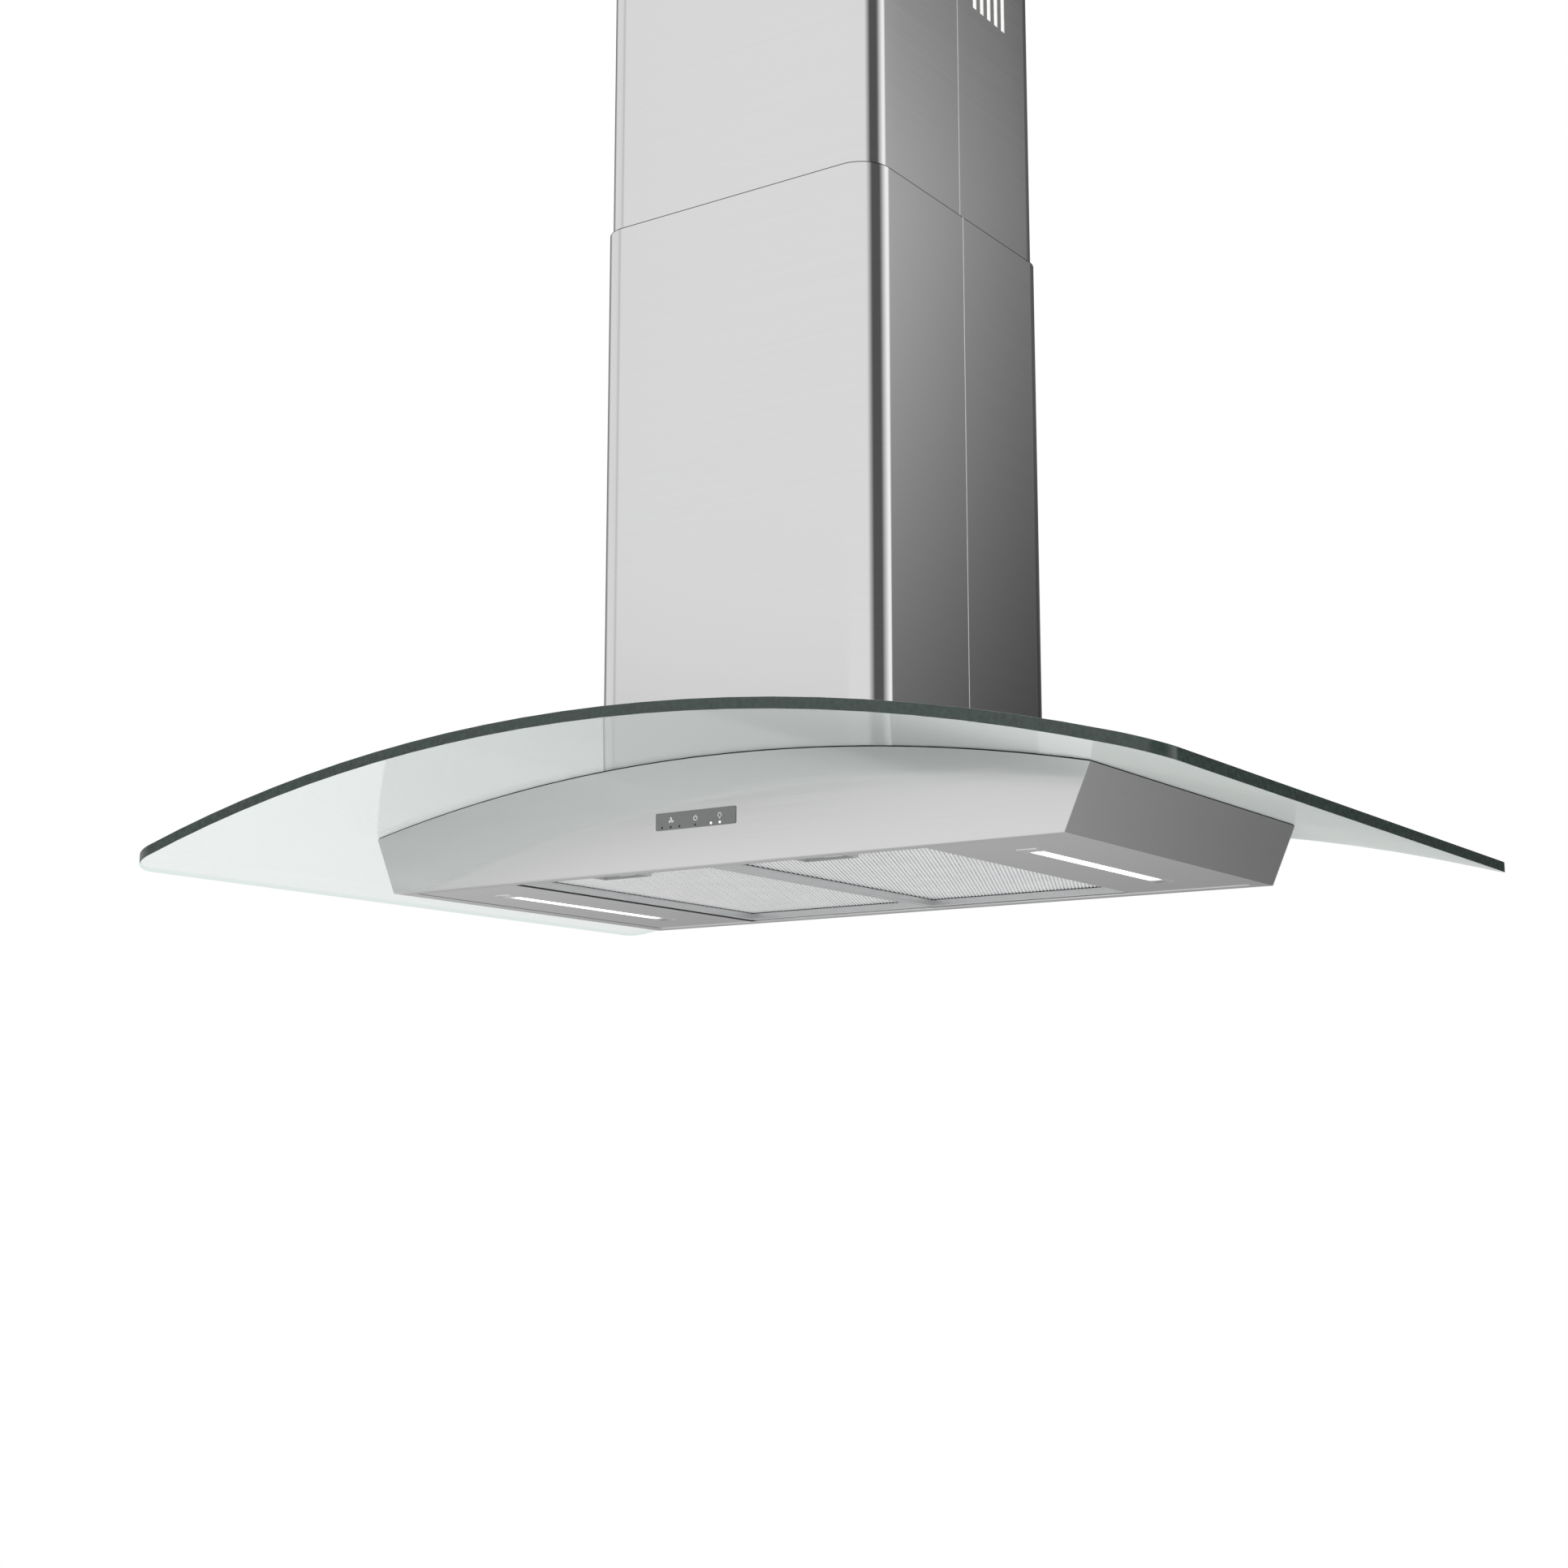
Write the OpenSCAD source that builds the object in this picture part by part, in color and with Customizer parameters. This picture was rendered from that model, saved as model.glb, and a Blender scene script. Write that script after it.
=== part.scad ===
// Island range hood with a curved glass canopy and a telescopic chimney.
// Millimetres, +Z up. The origin is the centre of the ceiling bracket's top face.
// Modules work in heights above the canopy's underside and hang() drops them from the ceiling.

/* [Overall] */
// Ceiling to canopy underside with the chimney at its stored height
total_h = 900; // [880:5:940]
// Thickness of the formed stainless sheet
sheet_t = 1; // [0.8:0.1:1.2]

/* [Glass canopy] */
// Glass width, left to right
glass_w = 900; // [860:10:940]
// Glass depth, front to back
glass_d = 670; // [640:10:700]
// Glass thickness
glass_t = 8; // [6:1:10]
// Radius of the glass underside
arch_r = 1512; // [1480:4:1560]
// Height of the glass underside at its crest
crest_z = 83; // [80:1:86]
// Plan radius of the glass corners
glass_corner_r = 28; // [20:2:40]

/* [Canopy body] */
// Underside width of the metal body
body_w = 613.2; // [600:0.2:626]
// Depth of the metal body
body_d = 356; // [350:1:362]
// Lean of the end faces from upright, in degrees
end_lean = 23.5; // [15:0.5:25]
// Width of the folded rim round the underside
rim_w = 14; // [12:1:15]
// Width of the filter opening
filter_bay_w = 380; // [372:2:388]

/* [Chimney] */
// Lower cover width
lower_w = 267.6; // [267:0.2:270]
// Lower cover depth
lower_d = 278.9; // [278.5:0.1:282]
// Lower cover corner radius
lower_corner_r = 26; // [22:1:28]
// Top edge of the lower cover above the canopy's underside
lower_top = 540.6; // [530:0.2:560]
// Step from the lower cover in to the upper cover, each side
cover_step = 2.7; // [2.6:0.1:2.8]
// Length of the upper cover
upper_len = 448; // [440:2:460]
// Width of one vent slot
vent_w = 5.8; // [4.8:0.2:6.4]
// Height of one vent slot
vent_h = 100; // [80:5:110]

/* [Blower] */
// Outer radius of the duct collar
duct_r = 74.5; // [72:0.5:75]
// Outer radius of the impeller
wheel_r = 75; // [70:1:76]
// Number of impeller blades
blades = 32; // [24:2:40]

/* [Filters and lamps] */
// Slope of the filter strands from the +X axis, in degrees
strand_angle = 115.5; // [100:0.5:130]
// Spacing of the modelled strand rows
strand_pitch = 6.54; // [6:0.1:8]
// Lamp window width
lamp_w = 16.4; // [16:0.2:22]
// Lamp window length
lamp_len = 228; // [200:1:230]

/* [Hidden] */

fine = 72;
arch_fine = 2160;
big = 1000;

// arch levels, all concentric with the glass underside
gasket_t = 1;
arch_centre_z = crest_z - arch_r;
panel_arch_r = arch_r - gasket_t;
glass_top_r = arch_r + glass_t;
glass_crest_z = crest_z + glass_t;

// telescopic frame, made of equal angles
leg_leaf = 25;
leg_t = 1.5;
leg_gap = 0.4;
upper_leg_x = 122.5;
upper_leg_y = 128;
upper_leg_len = 522;
bracket_t = 3;
lower_leg_x = upper_leg_x - leg_t - leg_gap;
lower_leg_y = upper_leg_y - leg_t - leg_gap;
lower_leg_z1 = 505;
bolt_y = 116;
bolt_zs = [430, 490];
bolt_slot_w = 5.6;
slide_up = 240;
slide_down = 40;
slot_margin = 3;

// chimney covers
cover_t = 0.8;
seam_gap = 0.3;
strip_w = 20;
upper_w = lower_w - 2 * cover_step;
upper_d = lower_d - 2 * cover_step;
upper_corner_r = lower_corner_r - cover_step;
cover_top = total_h - 2;
vent_z = 736.3;
vent_pitch = 12;
vent_first_y = 29.6;
vent_count = 5;

// canopy opening through the glass
glass_cut_w = 236;
glass_cut_d = 246;
collar_w = 230;
collar_d = 240;
base_z = 95;
base_t = 1.5;
lower_leg_z0 = base_z + base_t;

// canopy body
end_rim_w = rim_w - 0.4;
hem_z = 3.4;
lean_run = tan(end_lean);
half_w = body_w / 2;
half_d = body_d / 2;
plate_r = panel_arch_r - sheet_t;
panel_z = 0.4;
panel_gap = 0.3;

// air box and blower
box_x = 116;
box_y = 99;
box_z0 = base_z + base_t;
box_z1 = 335;
wheel_x = -8;
wheel_z = 204;
wheel_half = 50;
blade_depth = 12.5;
scroll_half = 58;
scroll_t = 1.5;
shaft_r = 4;
shaft_fit = 0.06;
motor_r = 40;
motor_y0 = -84;
motor_y1 = -12;
collar_z1 = 400;
collar_t = 2;
pin_z = 375;
pin_r = 1.5;
knuckle_r = 3;
knuckles = 8;
flap_r = 71.8;
flap_t = 1;

// ceiling end of the duct
diverter_x = 128.5;
diverter_y = 88;
diverter_z0 = total_h - 175;
diverter_z1 = total_h - 55;
diverter_t = 2;
spigot_len = 55;
neck_r = duct_r + 3;
neck_drop = 2;

// filters
filter_x0 = 0.7;
filter_x1 = filter_bay_w / 2 - 0.7;
filter_half_d = half_d - rim_w - 1.5;
filter_z0 = 1.5;
filter_h = 11;
tab_z0 = 3.5;
filter_t = 0.8;
filter_lip = 4.6;
mesh_z0 = 6.8;
mesh_t = 2.4;
cup_w = 46;
cup_d = 24;
cup_h = 10.3;
cup_wall = 1;
slider_w = 16;
slider_offset = 10;
slider_z0 = 4.4;
slider_t = 1.6;
slide_fit = 0.3;

// lamps
lamp_x = 244.2;
lamp_y = -2.5;

// control strip on the front face
fascia_w = 74;
fascia_h = 13.2;
fascia_z = 29;
fascia_proud = 0.6;
window_w = 68;
window_z = [fascia_z + 0.5, fascia_z + 11.1];
dot_z = 31;
dot_r = 0.8;
dots_dark = [-30.9, -22.8, -14.7, 0];
dots_lit = [14.6, 22.7];

// colours
STEEL = [0.74, 0.75, 0.76];
ZINC = [0.62, 0.64, 0.66];
BLACK = [0.07, 0.07, 0.07];
GREY = [0.45, 0.45, 0.46];
WHITE = [0.95, 0.95, 0.93];
GLASS = [0.75, 0.88, 0.84, 0.35];
BOARD = [0.10, 0.30, 0.18];
COPPER = [0.72, 0.45, 0.25];

// ---------- helpers ----------

module hang() {
  translate([0, 0, -total_h]) children();
}

module span(x, y, z) {
  translate([x[0], y[0], z[0]]) cube([x[1] - x[0], y[1] - y[0], z[1] - z[0]]);
}

module both_x() {
  children();
  mirror([1, 0, 0]) children();
}

module both_y() {
  children();
  mirror([0, 1, 0]) children();
}

module four_ways() {
  both_x() both_y() children();
}

module rounded(w, d, r) {
  square([w - 2 * r, d], center = true);
  square([w, d - 2 * r], center = true);
  for (sx = [-1, 1], sy = [-1, 1]) {
    translate([sx * (w / 2 - r), sy * (d / 2 - r)]) circle(r = r, $fn = fine);
  }
}

module rounded_block(w, d, r, z) {
  translate([0, 0, z[0]]) linear_extrude(z[1] - z[0]) rounded(w, d, r);
}

module rounded_tube(w, d, r, t, z) {
  translate([0, 0, z[0]]) linear_extrude(z[1] - z[0]) difference() {
    rounded(w, d, r);
    rounded(w - 2 * t, d - 2 * t, r - t);
  }
}

// solid whose top is an arch of radius r about the canopy's arch centre, w wide and d deep
module arch_drum(r, w = glass_w + 20, d = glass_d + 20) {
  floor_z = -60;
  xz_slab([-d / 2, d / 2]) intersection() {
    translate([-w / 2, floor_z]) square([w, glass_crest_z + 10 - floor_z]);
    translate([0, arch_centre_z]) circle(r = r, $fn = arch_fine);
  }
}

module along_x(x, y, z, r) {
  translate([x[0], y, z]) rotate([0, 90, 0]) cylinder(r = r, h = x[1] - x[0], $fn = fine);
}

module along_y(x, y, z, r) {
  translate([x, y[1], z]) rotate([90, 0, 0]) cylinder(r = r, h = y[1] - y[0], $fn = fine);
}

module along_z(x, y, z, r) {
  translate([x, y, z[0]]) cylinder(r = r, h = z[1] - z[0], $fn = fine);
}

// extrudes an outline drawn in X and Z from y[0] to y[1]
module xz_slab(y) {
  translate([0, y[1], 0]) rotate([90, 0, 0]) linear_extrude(y[1] - y[0]) children();
}

// ---------- ceiling end ----------

screw_r = 2;
screw_head_r = 4;
screw_head_t = 2.2;
rivet_r = 2;
rivet_head_r = 3.6;
rivet_head_t = 1.6;
hole_fit = 0.1;
leg_screw_zs = [total_h - 15, total_h - 30];
leg_screw_y = 117;
tab_t = 1.5;
cover_screw_z = total_h - 15;
cover_screw_y = 88;
hanger_w = 30;
hanger_foot = 16;
hanger_len = 97;
hanger_screw_z = total_h - 85;

module ceiling_bracket() {
  duct_hole_r = 85;
  bolt_x = 100;
  bolt_y_ceiling = 105;
  ceiling_bolt_r = 4;
  flange_drop = 25;
  tab_drop = 40;
  plate_w = upper_w - 2 * cover_t - 0.6;
  plate_d = upper_d - 2 * cover_t - 0.6;
  top = total_h;
  color(ZINC) hang() difference() {
    union() {
      rounded_block(plate_w, plate_d, upper_corner_r - 1.2, [top - bracket_t, top]);
      both_x() span([plate_w / 2 - tab_t, plate_w / 2], [-100, 100], [top - flange_drop, top - 1]);
      both_y() span([-92, 92], [plate_d / 2 - tab_t, plate_d / 2], [top - flange_drop, top - 1]);
      four_ways() span([upper_leg_x, upper_leg_x + tab_t],
        [upper_leg_y - leg_leaf, upper_leg_y], [top - tab_drop, top - 1]);
    }
    along_z(0, 0, [top - 10, top + 1], duct_hole_r);
    four_ways() along_z(bolt_x, bolt_y_ceiling, [top - 10, top + 1], ceiling_bolt_r);
    for (z = leg_screw_zs) {
      four_ways() along_x([upper_leg_x - 1, upper_leg_x + 3], leg_screw_y, z, screw_r + hole_fit);
    }
    four_ways() along_x([plate_w / 2 - 3, plate_w / 2 + 1], cover_screw_y, cover_screw_z,
      screw_r + hole_fit);
    both_y() along_z(0, diverter_y + 9, [top - 10, top - 0.5], screw_r + hole_fit);
  }
}

module angle_leg(x, y, z) {
  span([x - leg_leaf, x], [y - leg_t, y], z);
  span([x - leg_t, x], [y - leg_leaf, y], z);
}

module upper_legs() {
  z1 = total_h - bracket_t;
  slot_z0 = bolt_zs[0] - slide_down - slot_margin;
  slot_z1 = bolt_zs[1] + slide_up + slot_margin;
  slot_ends = [slot_z0 + bolt_slot_w / 2, slot_z1 - bolt_slot_w / 2];
  x = [upper_leg_x - leg_t - 1, upper_leg_x + 1];
  color(ZINC) hang() four_ways() difference() {
    angle_leg(upper_leg_x, upper_leg_y, [z1 - upper_leg_len, z1]);
    span(x, [bolt_y - bolt_slot_w / 2, bolt_y + bolt_slot_w / 2], slot_ends);
    for (z = slot_ends) {
      along_x(x, bolt_y, z, bolt_slot_w / 2);
    }
    for (z = leg_screw_zs) {
      along_x(x, leg_screw_y, z, screw_r + hole_fit);
    }
  }
}

module upper_ties() {
  tie_z = total_h - 310;
  tie_h = 20;
  tie_x = upper_leg_x - 2;
  color(ZINC) hang() both_y() {
    span([-tie_x, tie_x], [upper_leg_y, upper_leg_y + leg_t], [tie_z, tie_z + tie_h]);
    both_x() along_y(tie_x - 10, [upper_leg_y + leg_t, upper_leg_y + leg_t + rivet_head_t],
      tie_z + tie_h / 2, rivet_head_r);
  }
}

module vent_slots() {
  for (i = [0:vent_count - 1]) {
    y = vent_first_y + i * vent_pitch;
    span([upper_w / 2 - 5, upper_w / 2 + 1], [y - vent_w / 2, y + vent_w / 2],
      [vent_z, vent_z + vent_h]);
  }
}

// half of a rounded chimney tube: side is -1 for the front half, 1 for the rear half
module cover_half(w, d, r, z, side) {
  intersection() {
    rounded_tube(w, d, r, cover_t, z);
    if (side < 0) {
      span([-w, w], [-d, -seam_gap / 2], [z[0] - 1, z[1] + 1]);
    } else {
      span([-w, w], [seam_gap / 2, d], [z[0] - 1, z[1] + 1]);
    }
  }
}

module seam_strips(w, z) {
  both_x() span([w / 2 - 2 * cover_t, w / 2 - cover_t], [-strip_w / 2, strip_w / 2], z);
}

module upper_cover(side) {
  z = [cover_top - upper_len, cover_top];
  color(STEEL) hang() difference() {
    union() {
      cover_half(upper_w, upper_d, upper_corner_r, z, side);
      if (side < 0) {
        seam_strips(upper_w, [z[0] + 4, z[1] - 30]);
      }
    }
    both_x() mirror([0, side < 0 ? 1 : 0, 0]) vent_slots();
    both_x() mirror([0, side < 0 ? 1 : 0, 0])
      along_x([upper_w / 2 - 3, upper_w / 2 + 1], cover_screw_y, cover_screw_z, screw_r + hole_fit);
  }
}

module upper_cover_front() {
  upper_cover(-1);
}

module upper_cover_rear() {
  upper_cover(1);
}

// turns the rising air to the vent slots on both sides
module air_diverter() {
  t = diverter_t;
  vane_z = diverter_z0 + 55;
  vane_x = 62;
  color(WHITE) hang() {
    difference() {
      span([-diverter_x, diverter_x], [-diverter_y, diverter_y], [diverter_z0, diverter_z1]);
      span([-diverter_x - 1, diverter_x + 1], [t - diverter_y, diverter_y - t],
        [diverter_z0 + t, diverter_z1 - t]);
      along_z(0, 0, [diverter_z0 - 1, diverter_z0 + t + 1], neck_r + 0.2);
      both_y() along_y(0, [diverter_y - t - 1, diverter_y + 1], hanger_screw_z, screw_r + hole_fit);
    }
    both_x() xz_slab([t - diverter_y - 0.5, diverter_y - t + 0.5])
      polygon([[0, vane_z], [vane_x, diverter_z1 - t + 0.5], [vane_x - 4, diverter_z1 - t + 0.5], [0, vane_z + 4]]);
  }
}

// adaptor ring that hangs in the diverter's floor, for the duct to slide over
module diverter_spigot() {
  rim_z = diverter_z0 + diverter_t + 0.1;
  color(BLACK) hang() difference() {
    union() {
      along_z(0, 0, [diverter_z0 - spigot_len, rim_z + 1.5], duct_r);
      along_z(0, 0, [diverter_z0 - neck_drop, rim_z + 1.5], neck_r);
      along_z(0, 0, [rim_z, rim_z + 1.5], neck_r + 5);
    }
    along_z(0, 0, [diverter_z0 - spigot_len - 1, rim_z + 3], duct_r - diverter_t);
  }
}

module diverter_hangers() {
  top = total_h - bracket_t;
  color(ZINC) hang() both_y() difference() {
    union() {
      span([-hanger_w / 2, hanger_w / 2], [diverter_y, diverter_y + leg_t], [top - hanger_len, top]);
      span([-hanger_w / 2, hanger_w / 2], [diverter_y, diverter_y + hanger_foot], [top - leg_t, top]);
    }
    along_y(0, [diverter_y - 1, diverter_y + 3], hanger_screw_z, screw_r + hole_fit);
    along_z(0, diverter_y + 9, [top - 3, top + 1], screw_r + hole_fit);
  }
}

module upper_screws() {
  cover_x = upper_w / 2;
  color(STEEL) hang() {
    for (z = leg_screw_zs) {
      four_ways() {
        along_x([upper_leg_x - 4, upper_leg_x + tab_t + 1], leg_screw_y, z, screw_r);
        along_x([upper_leg_x + tab_t, upper_leg_x + tab_t + screw_head_t], leg_screw_y, z,
          screw_head_r);
      }
    }
    four_ways() {
      along_x([cover_x - 6, cover_x + 0.5], cover_screw_y, cover_screw_z, screw_r);
      along_x([cover_x, cover_x + screw_head_t], cover_screw_y, cover_screw_z, screw_head_r);
    }
    both_y() {
      along_y(0, [diverter_y - 5, diverter_y + leg_t + 1], hanger_screw_z, screw_r);
      along_y(0, [diverter_y + leg_t, diverter_y + leg_t + screw_head_t], hanger_screw_z, screw_head_r);
      along_z(0, diverter_y + 9, [total_h - bracket_t - 3, total_h - 0.6], screw_r);
      along_z(0, diverter_y + 9, [total_h - bracket_t - leg_t - screw_head_t, total_h - bracket_t - leg_t],
        screw_head_r);
    }
  }
}

// ---------- lower frame ----------

base_screw_z = 112;
base_tab_top = 125;
base_w = 248;
base_d = 258;
chassis_bolt_x = 70;
chassis_bolt_y = 112;
collar_lip = 14;
airbox_screw_y = 60;
airbox_screw_x = 109;
seal_t = 2.5;

module lower_legs() {
  x = [lower_leg_x - leg_t - 1, lower_leg_x + 1];
  color(ZINC) hang() four_ways() difference() {
    angle_leg(lower_leg_x, lower_leg_y, [lower_leg_z0, lower_leg_z1]);
    for (z = bolt_zs) {
      along_x(x, bolt_y, z, 2.6);
    }
    along_x(x, bolt_y, base_screw_z, screw_r + hole_fit);
  }
}

module lower_ties() {
  tie_z = 450;
  tie_h = 20;
  tie_x = lower_leg_x - 4;
  y1 = lower_leg_y - leg_t;
  color(ZINC) hang() both_y() {
    span([-tie_x, tie_x], [y1 - leg_t, y1], [tie_z, tie_z + tie_h]);
    both_x() along_y(tie_x - 10, [y1 - leg_t - rivet_head_t, y1 - leg_t], tie_z + tie_h / 2, rivet_head_r);
  }
}

// bolts that ride in the upper legs' slots and clamp the height, each with its nut
module frame_bolts() {
  bolt_r = 2.5;
  head_r = 4.5;
  head_t = 3;
  nut_r = 4.6;
  nut_t = 3;
  head_x = upper_leg_x + 0.3;
  nut_x = lower_leg_x - leg_t;
  color(STEEL) hang() four_ways() for (z = bolt_zs) {
    along_x([nut_x - nut_t - 1.4, head_x + 1], bolt_y, z, bolt_r);
    translate([head_x, bolt_y, z]) rotate([0, 90, 0]) cylinder(r = head_r, h = head_t, $fn = 6);
    translate([nut_x - nut_t, bolt_y, z]) rotate([0, 90, 0]) cylinder(r = nut_r, h = nut_t, $fn = 6);
  }
}

module frame_base() {
  tab_x = lower_leg_x - leg_t;
  ear_x = lower_w / 2 - cover_t - 0.3;
  skirt = base_t;
  color(ZINC) hang() difference() {
    union() {
      span([-base_w / 2, base_w / 2], [-base_d / 2, base_d / 2], [base_z, base_z + base_t]);
      difference() {
        span([-base_w / 2, base_w / 2], [-base_d / 2, base_d / 2], [70, base_z + 1]);
        span([skirt - base_w / 2, base_w / 2 - skirt], [skirt - base_d / 2, base_d / 2 - skirt],
          [60, base_z + 2]);
        arch_drum(glass_top_r + seal_t + 0.1, base_w + 10, base_d + 10);
      }
      four_ways() span([tab_x - base_t, tab_x], [lower_leg_y - leg_leaf, lower_leg_y - leg_t],
        [base_z + 1, base_tab_top]);
      both_x() span([base_w / 2 - 1, ear_x], [-24, -14], [base_z, base_z + base_t]);
      both_x() span([base_w / 2 - 1, ear_x], [14, 24], [base_z, base_z + base_t]);
      both_x() both_y() span([ear_x - base_t, ear_x], [14, 24], [base_z, base_z + 22]);
    }
    span([-100, 100], [-90, 90], [base_z - 1, base_z + base_t + 1]);
    four_ways() along_x([tab_x - 3, tab_x + 1], bolt_y, base_screw_z, screw_r + hole_fit);
    four_ways() along_z(chassis_bolt_x, chassis_bolt_y, [base_z - 1, base_z + 3], screw_r + hole_fit);
    four_ways() along_z(airbox_screw_x, airbox_screw_y, [base_z - 1, base_z + 3], screw_r + hole_fit);
  }
}

// rubber ring between the frame base and the glass
module base_seal() {
  seal_w = 5;
  color(BLACK) hang() intersection() {
    difference() {
      span([-base_w / 2, base_w / 2], [-base_d / 2, base_d / 2], [70, base_z]);
      span([seal_w - base_w / 2, base_w / 2 - seal_w], [seal_w - base_d / 2, base_d / 2 - seal_w],
        [60, base_z + 1]);
      arch_drum(glass_top_r + 0.1, base_w + 10, base_d + 10);
    }
    arch_drum(glass_top_r + seal_t, base_w + 10, base_d + 10);
  }
}

module lower_cover(side) {
  color(STEEL) hang() difference() {
    union() {
      cover_half(lower_w, lower_d, lower_corner_r, [75, lower_top], side);
      if (side < 0) {
        seam_strips(lower_w, [98, lower_top - 4]);
      }
    }
    arch_drum(glass_top_r + 0.3, lower_w + 10, lower_d + 10);
  }
}

module lower_cover_front() {
  lower_cover(-1);
}

module lower_cover_rear() {
  lower_cover(1);
}

// ---------- canopy ----------

module glass_canopy() {
  color(GLASS) hang() intersection() {
    difference() {
      rounded_block(glass_w, glass_d, glass_corner_r, [-20, crest_z + 20]);
      rounded_block(glass_cut_w, glass_cut_d, 10, [-21, crest_z + 21]);
      arch_drum(arch_r);
    }
    arch_drum(glass_top_r);
  }
}

// body outline seen from the front, up to an arch of radius r
module body_outline(r, inset = 0) {
  reach = 90;
  top_x = half_w + reach * lean_run - inset;
  intersection() {
    polygon([[-half_w + inset, 0], [half_w - inset, 0], [top_x, reach], [-top_x, reach]]);
    translate([0, arch_centre_z]) circle(r = r, $fn = arch_fine);
  }
}

module glass_gasket() {
  seal_w = 9;
  gap = 0.05;
  color(BLACK) hang() difference() {
    intersection() {
      xz_slab([-half_d + 1, half_d - 1]) body_outline(arch_r - gap, 1);
      arch_drum(arch_r - gap);
    }
    arch_drum(panel_arch_r + gap);
    xz_slab([-half_d + 1 + seal_w, half_d - 1 - seal_w]) body_outline(big * 2, 1 + seal_w);
  }
}

module chassis_plate() {
  t = sheet_t;
  gap = 0.1;
  color(STEEL) hang() {
    difference() {
      xz_slab([-half_d + 1.2, half_d - 1.2]) body_outline(plate_r - gap, 1.8);
      arch_drum(plate_r - gap - t);
      span([t - collar_w / 2, collar_w / 2 - t], [t - collar_d / 2, collar_d / 2 - t], [0, 200]);
    }
    difference() {
      span([-collar_w / 2, collar_w / 2], [-collar_d / 2, collar_d / 2], [crest_z - 14, base_z]);
      span([t - collar_w / 2, collar_w / 2 - t], [t - collar_d / 2, collar_d / 2 - t], [0, base_z - t]);
      span([collar_lip - collar_w / 2, collar_w / 2 - collar_lip],
        [collar_lip - collar_d / 2, collar_d / 2 - collar_lip], [0, base_z + 1]);
      four_ways() along_z(chassis_bolt_x, chassis_bolt_y, [base_z - 3, base_z + 1], screw_r + hole_fit);
      arch_drum(plate_r - gap - t);
    }
  }
}

// plan area that a front or rear rim keeps after its corners are mitred
module rim_plan_front() {
  inner = half_w - end_rim_w;
  polygon([[-half_w, -half_d], [half_w, -half_d], [inner, rim_w - half_d], [-inner, rim_w - half_d]]);
}

module front_like_panel(with_window) {
  t = sheet_t;
  lip = 12;
  reach = 0.1;
  difference() {
    union() {
      xz_slab([-half_d, t - half_d]) body_outline(panel_arch_r);
      intersection() {
        span([-half_w, half_w], [-half_d, rim_w - half_d], [0, t]);
        translate([0, 0, -1]) linear_extrude(10) rim_plan_front();
      }
      span([-filter_bay_w / 2, filter_bay_w / 2], [rim_w - t - half_d, rim_w - half_d], [0, hem_z]);
      difference() {
        xz_slab([-half_d + reach, lip - half_d]) body_outline(panel_arch_r, 2.5);
        arch_drum(plate_r);
      }
    }
    if (with_window) {
      span([-window_w / 2, window_w / 2], [-half_d - 1, 2 - half_d],
        window_z);
    }
  }
}

module front_panel() {
  color(STEEL) hang() front_like_panel(true);
}

module rear_panel() {
  color(STEEL) hang() mirror([0, 1, 0]) front_like_panel(false);
}

module end_panel() {
  t = sheet_t;
  reach = 90;
  thick_x = t / cos(end_lean);
  seam = 0.15;
  y = half_d - t - seam;
  xz_slab([-y, y]) intersection() {
    polygon([[half_w, 0], [half_w + reach * lean_run, reach],
      [half_w + reach * lean_run - thick_x, reach], [half_w - thick_x, 0]]);
    translate([0, arch_centre_z]) circle(r = panel_arch_r, $fn = arch_fine);
  }
  intersection() {
    xz_slab([-half_d, half_d]) polygon([[half_w, 0], [half_w - end_rim_w, 0],
      [half_w - end_rim_w, t], [half_w + t * lean_run, t]]);
    translate([0, 0, -1]) linear_extrude(10) polygon([[half_w + 1, -y], [half_w + 1, y],
      [half_w - t, y], [half_w - end_rim_w, half_d - rim_w - seam],
      [half_w - end_rim_w, rim_w + seam - half_d], [half_w - t, -y]]);
  }
}

module end_panel_right() {
  color(STEEL) hang() end_panel();
}

module end_panel_left() {
  color(STEEL) hang() mirror([1, 0, 0]) end_panel();
}

module light_panel() {
  t = sheet_t;
  wall_h = 36;
  lap = 6;
  lap_t = 0.8;
  x0 = filter_bay_w / 2;
  x1 = half_w - end_rim_w - panel_gap;
  y = half_d - rim_w - panel_gap;
  lap_z = [t + 0.1, t + 0.1 + lap_t];
  difference() {
    union() {
      span([x0, x1], [-y, y], [panel_z, panel_z + t]);
      span([x0, x0 + t], [-y, y], [panel_z, panel_z + wall_h]);
      span([x1 - lap, x1 + lap], [-y, y], lap_z);
      both_y() span([x0 + 3, x1], [y - lap, y + lap], lap_z);
    }
    translate([lamp_x, lamp_y, panel_z - 1]) linear_extrude(3) square([lamp_w, lamp_len], center = true);
  }
}

module light_panel_right() {
  color(STEEL) hang() light_panel();
}

module light_panel_left() {
  color(STEEL) hang() mirror([1, 0, 0]) light_panel();
}

bezel_wall = 0.9;
bezel_fit = 0.1;
bezel_flange = 2.5;
bezel_face = 1.6;
bezel_side = 2.2;
bezel_end = 15.4;
bezel_h = 10;
diffuser_z = panel_z + 1.4;

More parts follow.
